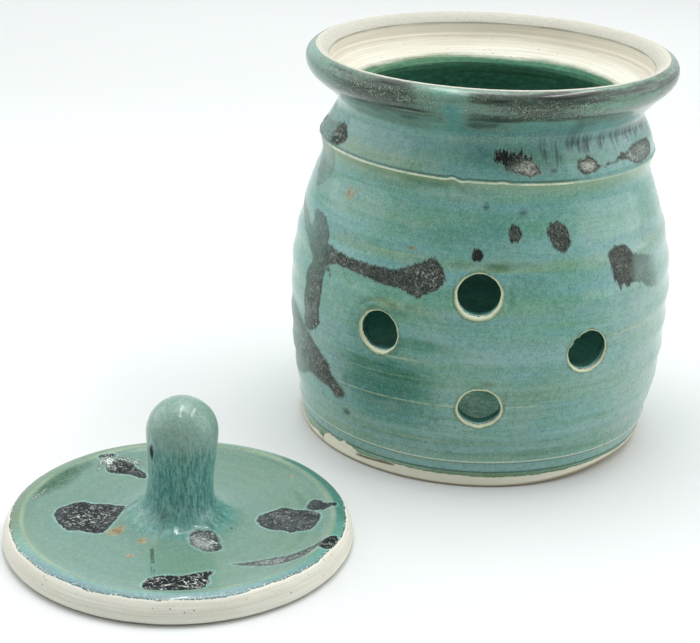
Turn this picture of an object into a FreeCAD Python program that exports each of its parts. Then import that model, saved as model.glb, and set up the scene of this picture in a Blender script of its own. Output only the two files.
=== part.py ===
# Wheel-thrown stoneware garlic keeper: a vented jar and a lift-off lid.
#
# Row frame, millimetres: the origin is the centre of the jar's foot, on the
# surface that the jar stands on, and +Z is the jar's own axis, upwards.  The
# vents face -Y.  The lid lies on the same surface, beside the jar, on its
# flat underside.
#
# Two fired pieces:
#   jar  one thrown wall with its floor, gallery rim and four vent holes
#   lid  one thrown disc with a raised edge and a pulled knob
import FreeCAD, Part
import math
import os

V = FreeCAD.Vector

# ---------------------------------------------------------------- jar: sizes
JAR_H = 128.4            # foot to crest of the rim
FOOT_R = 57.2            # flat of the foot, where it meets the surface
FOOT_BAND_R = 58.0       # upright band above the foot
FOOT_RIDGE_R = 59.15     # thin ridge between the band and the belly
FOOT_RIDGE_Z = 9.2
BELLY_R = 63.1           # widest part of the belly
SHOULDER_RIDGE_R = 54.4  # thin ridge where the shoulder meets the neck
SHOULDER_RIDGE_Z = 99.3
NECK_R = 49.0            # outside of the neck, under the rim
RIM_R = 59.85            # widest part of the rolled rim
CREST_R = 56.0           # crest of the rim
FLOOR_TOP = 7.6          # inside of the floor, at the centre

# gallery that the lid drops into
SEAT_R = 52.3            # upright wall of the gallery
SEAT_TOP_Z = 125.4
SEAT_LOW_Z = 121.6
THROAT_R = 42.0          # narrowest way in, under the ledge
THROAT_Z = 113.0

# four vents in a diamond: where each opens in the skin (azimuth in degrees
# from +X, height), and the azimuth it was bored along.  The side ones were
# bored from the front, not square to the wall.
VENT_R = 6.45
VENT_LIP_DEPTH = 2.0     # outer part of each hole widens from here
VENT_LIP_SLOPE = 0.30
VENTS = [(-89.4, 66.1, -89.4), (-118.4, 50.2, -104.0), (-56.1, 47.0, -78.0),
         (-87.6, 29.3, -87.6)]

# belly, from the foot ridge to the shoulder ridge: (radius, height)
BELLY = [
    (FOOT_RIDGE_R, FOOT_RIDGE_Z), (59.35, 12.0), (60.10, 15.0), (60.85, 18.0),
    (61.37, 21.0), (61.69, 24.0), (62.14, 27.0), (62.33, 30.0), (62.60, 33.0),
    (62.69, 36.0), (62.87, 39.0), (63.01, 42.0), (63.04, 45.0), (63.01, 48.0),
    (BELLY_R, 51.0), (63.12, 54.0), (62.82, 57.0), (62.55, 60.0), (62.11, 63.0),
    (61.55, 66.0), (60.90, 69.0), (60.17, 72.0), (59.55, 75.0), (58.64, 78.0),
    (57.70, 81.0), (56.62, 84.0), (55.55, 87.0), (54.35, 90.0), (53.55, 92.5),
    (53.42, 94.5), (53.68, 96.3), (54.10, 98.0),
    (SHOULDER_RIDGE_R, SHOULDER_RIDGE_Z)]

# neck and rolled rim, from the shoulder ridge to the crest
NECK = [
    (SHOULDER_RIDGE_R, SHOULDER_RIDGE_Z), (54.05, 100.5), (53.23, 102.0),
    (52.24, 103.5), (51.39, 105.0), (50.65, 106.5), (49.80, 108.0),
    (49.10, 109.5), (NECK_R, 111.0), (49.50, 112.5), (50.48, 114.0),
    (52.00, 115.5), (53.80, 117.0), (55.80, 118.5), (57.60, 120.0),
    (58.90, 121.5), (59.62, 123.0), (RIM_R, 124.5), (59.62, 126.0),
    (58.75, 127.2), (57.40, 128.05), (CREST_R, JAR_H)]

# sloped ledge of the gallery, from its upright wall to the throat
LEDGE = [
    (SEAT_R, SEAT_LOW_Z), (51.75, 120.75), (50.75, 119.85), (49.30, 118.75),
    (47.20, 117.35), (45.20, 116.10), (43.60, 115.05), (42.50, 114.05),
    (THROAT_R, THROAT_Z)]

# inside of the wall, from the throat to the floor
INSIDE = [
    (THROAT_R, THROAT_Z), (42.35, 111.4), (43.60, 109.0), (45.60, 105.8),
    (47.55, 102.6), (48.60, 99.3), (48.85, 95.0), (49.65, 90.5), (51.85, 85.0),
    (54.25, 79.0), (56.25, 73.0), (57.85, 66.0), (58.60, 58.0), (58.50, 49.0),
    (57.75, 39.0), (56.75, 30.0), (55.25, 21.5), (53.00, 15.0), (49.60, 10.6),
    (45.00, 8.35), (38.00, FLOOR_TOP)]

# ---------------------------------------------------------------- lid: sizes
LID_X, LID_Y = -83.4, -102.1   # where the lid lies
LID_H = 44.7             # underside to top of the knob
LID_R = 51.55            # widest, near the bottom edge
LID_EDGE_R = 49.45       # top edge of the bare side
LID_EDGE_Z = 7.05
LID_RIDGE_R = 45.9       # low raised ring inside the edge
LID_RIDGE_Z = 7.85
LID_DISH_Z = 6.2         # floor of the shallow dish
KNOB_R = 10.5            # ball end of the knob
KNOB_Z = LID_H - KNOB_R
KNOB_NECK_R = 9.5
LID_RECESS_R = 37.5      # shallow recess under the lid
LID_RECESS_H = 1.4


def pt(r, z):
    return V(r, 0.0, z)


def line(a, b):
    return Part.makeLine(pt(*a), pt(*b))


def curve(points, start=None, end=None):
    """Smooth curve through (radius, height) points."""
    c = Part.BSplineCurve()
    if start is None and end is None:
        c.interpolate([pt(*p) for p in points])
    else:
        c.interpolate(Points=[pt(*p) for p in points],
                      InitialTangent=V(start[0], 0, start[1]),
                      FinalTangent=V(end[0], 0, end[1]))
    return c.toShape()


def arc(a, m, b):
    return Part.Arc(pt(*a), pt(*m), pt(*b)).toShape()


def revolve(edges):
    wire = Part.Wire(edges)
    face = Part.Face(wire)
    solid = face.revolve(V(0, 0, 0), V(0, 0, 1), 360.0)
    if solid.ShapeType != "Solid":
        solid = solid.Solids[0]
    if solid.Volume < 0:
        solid.reverse()
    return solid


def make_jar():
    edges = [
        # flat underside, as cut from the wheel
        line((0.0, 0.0), (FOOT_R, 0.0)),
        # softened corner, upright band, thin ridge
        arc((FOOT_R, 0.0), (FOOT_R + 0.57, 0.24), (FOOT_BAND_R, 0.8)),
        line((FOOT_BAND_R, 0.8), (FOOT_BAND_R + 0.1, 4.5)),
        curve([(FOOT_BAND_R + 0.1, 4.5), (58.25, 6.5), (58.45, 8.1),
               (FOOT_RIDGE_R, FOOT_RIDGE_Z)]),
        curve(BELLY),
        curve(NECK),
        # bare bevel down into the gallery, upright wall, sloped ledge
        curve([(CREST_R, JAR_H), (54.2, 127.35), (SEAT_R, SEAT_TOP_Z)]),
        line((SEAT_R, SEAT_TOP_Z), (SEAT_R, SEAT_LOW_Z)),
        curve(LEDGE),
        curve(INSIDE),
        line((38.0, FLOOR_TOP), (0.0, FLOOR_TOP)),
        line((0.0, FLOOR_TOP), (0.0, 0.0)),
    ]
    jar = revolve(edges)
    for azimuth, z, bore in VENTS:
        a, b = math.radians(azimuth), math.radians(bore)
        r = belly_radius(z)
        skin = V(r * math.cos(a), r * math.sin(a), z)
        jar = jar.cut(vent_tool(skin, V(math.cos(b), math.sin(b), 0.0)))
    return jar


def vent_tool(skin, out):
    """Round cutter along out through a point of the outer skin, widening a
    little on its way out."""
    start, soft, end = -20.0, -VENT_LIP_DEPTH, 5.0
    wide = VENT_R + VENT_LIP_SLOPE * (end - soft)
    profile = [(start, 0.0), (start, VENT_R), (soft, VENT_R), (end, wide),
               (end, 0.0), (start, 0.0)]
    wire = Part.makePolygon([skin + out * d + V(0, 0, h) for d, h in profile])
    tool = Part.Face(wire).revolve(skin, out, 360.0)
    if tool.Volume < 0:
        tool.reverse()
    return tool


def belly_radius(z):
    pts = BELLY
    for (r0, z0), (r1, z1) in zip(pts, pts[1:]):
        if z0 <= z <= z1:
            return r0 + (r1 - r0) * (z - z0) / (z1 - z0)
    return BELLY_R


def make_lid():
    edges = [
        # underside: shallow recess, resting ring, rounded bottom edge
        line((0.0, LID_RECESS_H), (LID_RECESS_R, LID_RECESS_H)),
        line((LID_RECESS_R, LID_RECESS_H), (LID_RECESS_R + 2.0, 0.0)),
        line((LID_RECESS_R + 2.0, 0.0), (49.0, 0.0)),
        curve([(49.0, 0.0), (50.4, 0.42), (51.25, 1.25), (LID_R, 2.3)],
              (1.0, 0.0), (0.0, 1.0)),
        # bare side, leaning in to the top edge
        curve([(LID_R, 2.3), (51.05, 4.4), (LID_EDGE_R, LID_EDGE_Z)]),
        # edge, low raised ring, shallow dish
        curve([(LID_EDGE_R, LID_EDGE_Z), (48.5, 7.55), (47.3, 7.80),
               (LID_RIDGE_R, LID_RIDGE_Z), (44.7, 7.50), (43.3, 6.95),
               (40.5, 6.55), (36.0, 6.30), (30.0, LID_DISH_Z)]),
        # flare into the knob, its neck and ball end
        curve([(30.0, LID_DISH_Z), (25.0, 6.25), (20.0, 6.55), (16.4, 7.30),
               (13.6, 8.50), (11.7, 10.1), (10.5, 12.2), (9.85, 15.0),
               (KNOB_NECK_R, 19.5), (9.62, 24.0), (10.05, 28.5),
               (10.42, 32.0), (KNOB_R, KNOB_Z)]),
        arc((KNOB_R, KNOB_Z),
            (KNOB_R * math.sqrt(0.5), KNOB_Z + KNOB_R * math.sqrt(0.5)),
            (0.0, LID_H)),
        line((0.0, LID_H), (0.0, LID_RECESS_H)),
    ]
    lid = revolve(edges)
    lid.translate(V(LID_X, LID_Y, 0.0))
    return lid


def main():
    os.makedirs("parts", exist_ok=True)
    for name, shape in (("jar", make_jar()), ("lid", make_lid())):
        if shape.ShapeType != "Solid":
            shape = shape.Solids[0]
        b = shape.BoundBox
        print(name, "valid", shape.isValid(), "closed", shape.isClosed(),
              "faces", len(shape.Faces), "volume_cm3 %.2f" % (shape.Volume / 1000.0),
              "box %.2f %.2f %.2f to %.2f %.2f %.2f"
              % (b.XMin, b.YMin, b.ZMin, b.XMax, b.YMax, b.ZMax))
        shape.exportStep(os.path.join("parts", name + ".step"))


main()
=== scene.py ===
# The looks of the garlic keeper: a thrown stoneware jar with vents and its lid,
# teal-green glaze with grey-brown splashes over cream clay, bare at the gallery,
# the foot and the lid's side.  Everything is in the row frame, in metres; the
# numbers below are in millimetres until the meshes are made.
import math

import bpy
import numpy as np
from mathutils import Matrix


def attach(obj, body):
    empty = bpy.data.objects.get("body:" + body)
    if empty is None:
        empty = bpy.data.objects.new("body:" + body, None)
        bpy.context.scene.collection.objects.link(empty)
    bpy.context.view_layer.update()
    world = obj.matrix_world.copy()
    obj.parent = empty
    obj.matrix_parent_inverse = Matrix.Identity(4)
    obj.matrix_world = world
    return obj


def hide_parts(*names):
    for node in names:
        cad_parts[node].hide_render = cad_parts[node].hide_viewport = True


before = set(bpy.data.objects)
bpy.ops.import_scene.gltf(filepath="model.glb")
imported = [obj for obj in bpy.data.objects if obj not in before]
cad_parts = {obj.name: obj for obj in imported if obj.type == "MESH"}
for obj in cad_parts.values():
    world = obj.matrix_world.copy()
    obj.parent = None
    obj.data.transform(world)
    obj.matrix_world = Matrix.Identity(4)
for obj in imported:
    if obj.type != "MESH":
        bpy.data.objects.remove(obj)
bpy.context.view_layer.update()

MM = 0.001
PI = math.pi


# =====================================================================
# small helpers
# =====================================================================
def lin(c):
    """sRGB 0-255 to linear RGBA."""
    out = []
    for v in c:
        v = v / 255.0
        out.append(v / 12.92 if v <= 0.04045 else ((v + 0.055) / 1.055) ** 2.4)
    return (out[0], out[1], out[2], 1.0)


def spline(t, y, x):
    """Natural cubic spline through (t, y), y may have several columns."""
    t, y = np.asarray(t, float), np.asarray(y, float)
    if y.ndim == 1:
        y = y[:, None]
    n = len(t)
    h = np.diff(t)
    a = np.zeros((n, n))
    b = np.zeros((n, y.shape[1]))
    a[0, 0] = a[-1, -1] = 1.0
    for i in range(1, n - 1):
        a[i, i - 1], a[i, i], a[i, i + 1] = h[i - 1], 2 * (h[i - 1] + h[i]), h[i]
        b[i] = 6 * ((y[i + 1] - y[i]) / h[i] - (y[i] - y[i - 1]) / h[i - 1])
    m = np.linalg.solve(a, b)
    x = np.asarray(x, float)
    k = np.clip(np.searchsorted(t, x) - 1, 0, n - 2)
    hk = h[k][:, None]
    u, v = (t[k + 1] - x)[:, None], (x - t[k])[:, None]
    out = (m[k] * u**3 + m[k + 1] * v**3) / (6 * hk)
    out += (y[k] / hk - m[k] * hk / 6) * u + (y[k + 1] / hk - m[k + 1] * hk / 6) * v
    return out


def run(points, step, smooth=True):
    """Points along a profile about step apart, ends kept."""
    p = np.asarray(points, float)
    t = np.r_[0, np.cumsum(np.hypot(*np.diff(p, axis=0).T))]
    d = np.linspace(0, t[-1], 600)
    q = spline(t, p, d) if smooth and len(p) > 2 else np.c_[
        np.interp(d, t, p[:, 0]), np.interp(d, t, p[:, 1])]
    s = np.r_[0, np.cumsum(np.hypot(*np.diff(q, axis=0).T))]
    n = max(1, int(round(s[-1] / step)))
    w = np.linspace(0, s[-1], n + 1)
    return np.c_[np.interp(w, s, q[:, 0]), np.interp(w, s, q[:, 1])]


def sstep(a, b, x):
    t = np.clip((np.asarray(x, float) - a) / (b - a), 0, 1)
    return t * t * (3 - 2 * t)


def window(x, a, b, soft):
    return sstep(a - soft, a + soft, x) * (1 - sstep(b - soft, b + soft, x))


def blob(s, z, cs, cz, rs, rz, p=1.0):
    return np.exp(-((((s - cs) / rs) ** 2 + ((z - cz) / rz) ** 2) ** p))


_rng = np.random.RandomState(7)
_PH = _rng.uniform(0, 2 * PI, 400)
_DR = _rng.normal(size=(400, 3))
_DR /= np.linalg.norm(_DR, axis=1)[:, None]


def wavy(x, y, z, size, seed=0, n=14):
    """Smooth repeatable variation about 0, near -1 to 1, over about size."""
    out = 0.0
    for i in range(n):
        k = (seed * 17 + i * 3) % 400
        f = 2 * PI / (size * (0.75 + 0.06 * i))
        d = _DR[k]
        out = out + np.sin(f * (d[0] * x + d[1] * y + d[2] * z) + _PH[k])
    return out / math.sqrt(n) / 1.1


def chaikin(p, n=2):
    p = np.asarray(p, float)
    for _ in range(n):
        q = np.roll(p, -1, axis=0)
        p = np.stack([0.75 * p + 0.25 * q, 0.25 * p + 0.75 * q], 1).reshape(-1, 2)
    return p


def signed(poly, s, z, reach=7.0, rounds=2):
    """Signed distance to a closed outline, negative inside, up to reach."""
    p = chaikin(poly, rounds) if rounds else np.asarray(poly, float)
    out = np.full(s.shape, reach)
    near = np.where((s > p[:, 0].min() - reach) & (s < p[:, 0].max() + reach)
                    & (z > p[:, 1].min() - reach) & (z < p[:, 1].max() + reach))[0]
    if not len(near):
        return out
    x, y = s[near], z[near]
    best = np.full(x.shape, 1e9)
    inside = np.zeros(x.shape, bool)
    q = np.roll(p, -1, axis=0)
    for (x0, y0), (x1, y1) in zip(p, q):
        dx, dy = x1 - x0, y1 - y0
        u = np.clip(((x - x0) * dx + (y - y0) * dy) / (dx * dx + dy * dy + 1e-12), 0, 1)
        best = np.minimum(best, (x - x0 - u * dx) ** 2 + (y - y0 - u * dy) ** 2)
        cross = (y0 > y) != (y1 > y)
        with np.errstate(divide="ignore", invalid="ignore"):
            at = x0 + (y - y0) * dx / dy
        inside ^= cross & (x < at)
    d = np.sqrt(best)
    out[near] = np.minimum(np.where(inside, -d, d), reach)
    return out


class Mesh:
    """Collects points (mm) and faces, and what each point says of itself."""

    def __init__(self):
        self.p, self.f, self.n, self.extra = [], [], 0, []

    def add(self, pts, **info):
        pts = np.asarray(pts, float).reshape(-1, 3)
        k = self.n
        self.p.append(pts)
        self.n += len(pts)
        self.extra.append((len(pts), info))
        return np.arange(k, self.n)

    def quads(self, grid, closed=True, keep=None):
        g = np.asarray(grid)
        nx = np.roll(g, -1, axis=1) if closed else g[:, 1:]
        g0 = g if closed else g[:, :-1]
        q = np.stack([g0[:-1], nx[:-1], nx[1:], g0[1:]], -1)
        if keep is not None:
            q = q[keep]
        self.f.extend(map(tuple, q.reshape(-1, 4).tolist()))

    def zip(self, a, fa, b, fb):
        """Triangles between two closed loops, both sorted by angle."""
        na, nb = len(a), len(b)
        i = j = 0
        fa, fb = np.asarray(fa, float), np.asarray(fb, float)
        while i < na or j < nb:
            ai = fa[(i + 1) % na] + 2 * PI * ((i + 1) // na)
            bj = fb[(j + 1) % nb] + 2 * PI * ((j + 1) // nb)
            if j >= nb or (i < na and ai <= bj):
                self.f.append((int(a[i % na]), int(a[(i + 1) % na]), int(b[j % nb])))
                i += 1
            else:
                self.f.append((int(a[i % na]), int(b[(j + 1) % nb]), int(b[j % nb])))
                j += 1

    def value(self, name, default):
        return np.concatenate([
            np.broadcast_to(np.asarray(info.get(name, default), float).ravel(), (n,))
            for n, info in self.extra])

    def points(self):
        return np.concatenate(self.p)

    def make(self, name, attributes):
        me = bpy.data.meshes.new(name)
        me.from_pydata((self.points() * MM).tolist(), [], self.f)
        me.validate()
        for key, val in attributes.items():
            at = me.attributes.new(key, "FLOAT", "POINT")
            at.data.foreach_set("value", np.asarray(val, np.float32))
        me.polygons.foreach_set("use_smooth", np.ones(len(me.polygons), bool))
        me.update()
        ob = bpy.data.objects.new(name, me)
        bpy.context.scene.collection.objects.link(ob)
        return ob


# =====================================================================
# the jar: profile, as in the CAD
# =====================================================================
BELLY = [
    (59.15, 9.2), (59.35, 12.0), (60.10, 15.0), (60.85, 18.0), (61.37, 21.0),
    (61.69, 24.0), (62.14, 27.0), (62.33, 30.0), (62.60, 33.0), (62.69, 36.0),
    (62.87, 39.0), (63.01, 42.0), (63.04, 45.0), (63.01, 48.0), (63.1, 51.0),
    (63.12, 54.0), (62.82, 57.0), (62.55, 60.0), (62.11, 63.0), (61.55, 66.0),
    (60.90, 69.0), (60.17, 72.0), (59.55, 75.0), (58.64, 78.0), (57.70, 81.0),
    (56.62, 84.0), (55.55, 87.0), (54.35, 90.0), (53.55, 92.5), (53.42, 94.5),
    (53.68, 96.3), (54.10, 98.0), (54.4, 99.3)]
NECK = [
    (54.4, 99.3), (54.05, 100.5), (53.23, 102.0), (52.24, 103.5), (51.39, 105.0),
    (50.65, 106.5), (49.80, 108.0), (49.10, 109.5), (49.0, 111.0), (49.50, 112.5),
    (50.48, 114.0), (52.00, 115.5), (53.80, 117.0), (55.80, 118.5), (57.60, 120.0),
    (58.90, 121.5), (59.62, 123.0), (59.85, 124.5), (59.62, 126.0), (58.75, 127.2),
    (57.40, 128.05), (56.0, 128.4)]
LEDGE = [
    (52.3, 121.6), (51.75, 120.75), (50.75, 119.85), (49.30, 118.75),
    (47.20, 117.35), (45.20, 116.10), (43.60, 115.05), (42.50, 114.05), (42.0, 113.0)]
INSIDE = [
    (42.0, 113.0), (42.35, 111.4), (43.60, 109.0), (45.60, 105.8), (47.55, 102.6),
    (48.60, 99.3), (48.85, 95.0), (49.65, 90.5), (51.85, 85.0), (54.25, 79.0),
    (56.25, 73.0), (57.85, 66.0), (58.60, 58.0), (58.50, 49.0), (57.75, 39.0),
    (56.75, 30.0), (55.25, 21.5), (53.00, 15.0), (49.60, 10.6), (45.00, 8.35),
    (38.00, 7.6)]
# where each vent opens (azimuth, height), the azimuth it was bored along, and
# its half width and half height
VENTS = [(-89.6, 66.1, -89.4, 6.55, 6.56), (-117.9, 50.25, -104.0, 6.12, 6.66),
         (-56.6, 47.1, -78.0, 6.40, 6.60), (-87.55, 29.3, -87.6, 6.68, 6.10)]
COLS = 448
COLS_IN = 224

_d = run(BELLY, 0.25)
OUT_Z, OUT_R = _d[:, 1], _d[:, 0]
_d = run(INSIDE, 0.25)[::-1]
IN_Z, IN_R = _d[:, 1], _d[:, 0]


def azs(th):
    """Arc length at 60 mm radius from the front, -188.5 to 188.5."""
    return ((th + PI / 2 + PI) % (2 * PI) - PI) * 60.0


def ring_z(s, knots, values):
    """A smooth closed function of s through a few values."""
    k, v = np.asarray(knots, float), np.asarray(values, float)
    kk = np.r_[k - 120 * PI, k, k + 120 * PI]
    vv = np.r_[v, v, v]
    return spline(kk, vv, np.ravel(s))[:, 0].reshape(np.shape(s))


def ridge_dz(s):
    base = ring_z(s, [-150, -100, -67, -30, -6, 22, 52, 75, 110, 150],
                  [0.1, 0.3, 0.45, 0.3, 0.1, -0.35, -0.6, -0.7, -0.4, -0.1])
    return base + 0.55 * np.exp(-((s + 10.4) / 1.5) ** 2) - 0.25 * np.exp(
        -((s + 7.2) / 1.4) ** 2) + 0.3 * np.exp(-((s - 6.3) / 1.8) ** 2)


def foot_cut(th):
    """Height of the cut at the foot's edge."""
    s = azs(th)
    return ring_z(s, [-150, -110, -70, -35, -8, 8, 26, 50, 72, 95, 120, 155],
                  [1.6, 1.3, 0.75, 0.55, 0.45, 0.5, 1.15, 3.0, 3.7, 3.6, 2.8, 2.0])


def outer_shift(th, r, z):
    """Movement of the outer skin: throwing spiral, slight wobble, ridge line."""
    s = azs(th)
    spiral = 28.5 + 10.0 * (np.degrees(th) + 173.4) / 360.0
    w = sstep(14, 26, z) * (1 - sstep(74, 84, z))
    dr = 0.24 * w * np.cos(2 * PI * (z - spiral) / 10.0)
    w2 = sstep(11, 16, z) * (1 - sstep(92, 98, z))
    dr = dr + 0.07 * w2 * np.cos(2 * PI * (z - spiral * 0.6) / 3.4 + 0.8 * np.sin(2 * th))
    x, y = 60 * np.cos(th), 60 * np.sin(th)
    body = sstep(1, 12, z) * (1 - sstep(126.5, 128.2, z))
    dr = dr + body * (0.10 * wavy(x, y, z, 55, 1) + 0.045 * wavy(x, y, z * 1.6, 17, 2))
    # faint runs under the rim, where the glaze pooled
    neck = window(z, 101.5, 118, 1.5)
    dr = dr + neck * 0.05 * wavy(x * 1.0, y * 1.0, z * 0.25, 5.5, 3)
    # the shoulder ridge, a thin bead with a fine line above it
    dz = ridge_dz(s) * np.exp(-((z - 99.4) / 3.2) ** 2)
    bead = 0.26 + 0.10 * wavy(x, y, 0 * z, 9, 4)
    dr = dr + bead * np.exp(-((z - 99.45) / 0.42) ** 2)
    dr = dr - 0.16 * np.exp(-((z - 100.35) / 0.28) ** 2)
    nick = np.exp(-((s + 9.6) / 1.3) ** 2) + 0.6 * np.exp(-((s - 6.6) / 1.4) ** 2)
    dr = dr - 0.22 * nick * np.exp(-((z - 100.1) / 0.5) ** 2)
    # foot: ridge bead, fine line between the two glaze bands
    dr = dr + (0.14 + 0.04 * wavy(x, y, 0 * z, 7, 5)) * np.exp(-((z - 9.25) / 0.33) ** 2)
    dz = dz + 0.22 * wavy(x, y, 0 * z, 60, 6) * np.exp(-((z - 9.2) / 2.0) ** 2)
    dr = dr - 0.13 * np.exp(-((z - 5.35) / 0.35) ** 2)
    # bare patch at the left of the foot, where the glaze flaked off
    chip = window(s, -57.5, -41.5, 1.2) * window(z, 2.6, 5.3 + 0.5 * np.sin(s * 0.9), 0.35)
    dr = dr - chip * (0.20 + 0.12 * wavy(x, y, z, 2.6, 7))
    crack = window(s, -39.5, -24.5, 1.0) * np.exp(-((z - (2.85 + 0.65 * sstep(-40, -25, s))) / 0.30) ** 2)
    dr = dr - 0.42 * crack
    crack2 = np.exp(-((s + 58.3 + 0.35 * (z - 2)) / 0.5) ** 2) * window(z, 1.0, 4.0, 0.5)
    dr = dr - 0.3 * crack2
    # the neck is fuller at the right
    dr = dr + 1.05 * window(z, 102.5, 117.0, 2.6) * sstep(0.35, 0.95, np.cos(th + 0.12))
    # the foot's edge is cut away, more so at the right
    h = foot_cut(th)
    dr = dr - np.clip(h - z, 0, None) * 0.95
    # the rim roll is not quite even
    roll = sstep(118, 123, z)
    dr = dr + roll * (1 - sstep(127.6, 128.3, z)) * 0.10 * np.sin(3 * th + 1.1)
    dx = 0.32 * window(z, 16, 78, 6)
    return dr, dz, dx


def inner_shift(th, r, z):
    x, y = 56 * np.cos(th), 56 * np.sin(th)
    spiral = 31.0 + 9.0 * (np.degrees(th) + 173.4) / 360.0
    w = sstep(13, 24, z) * (1 - sstep(86, 96, z))
    dr = -0.34 * w * np.cos(2 * PI * (z - spiral) / 9.0)
    dr = dr + 0.10 * w * wavy(x, y, z, 30, 8)
    ring = window(z, 104, 113.5, 1.0)
    dr = dr + 0.10 * ring * np.cos(2 * PI * z / 2.3)
    return dr, 0.0 * z, 0.0 * z


def on_outer(th, z):
    r = np.interp(z, OUT_Z, OUT_R)
    dr, dz, dx = outer_shift(th, r, z)
    return r + dr


def on_inner(th, z):
    r = np.interp(z, IN_Z, IN_R)
    return r + inner_shift(th, r, z)[0]


def place(th, r, z, shift):
    dr, dz, dx = shift(th, r, z)
    rr = r + dr
    return np.stack([rr * np.cos(th) + dx, rr * np.sin(th), z + dz], -1)


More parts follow.
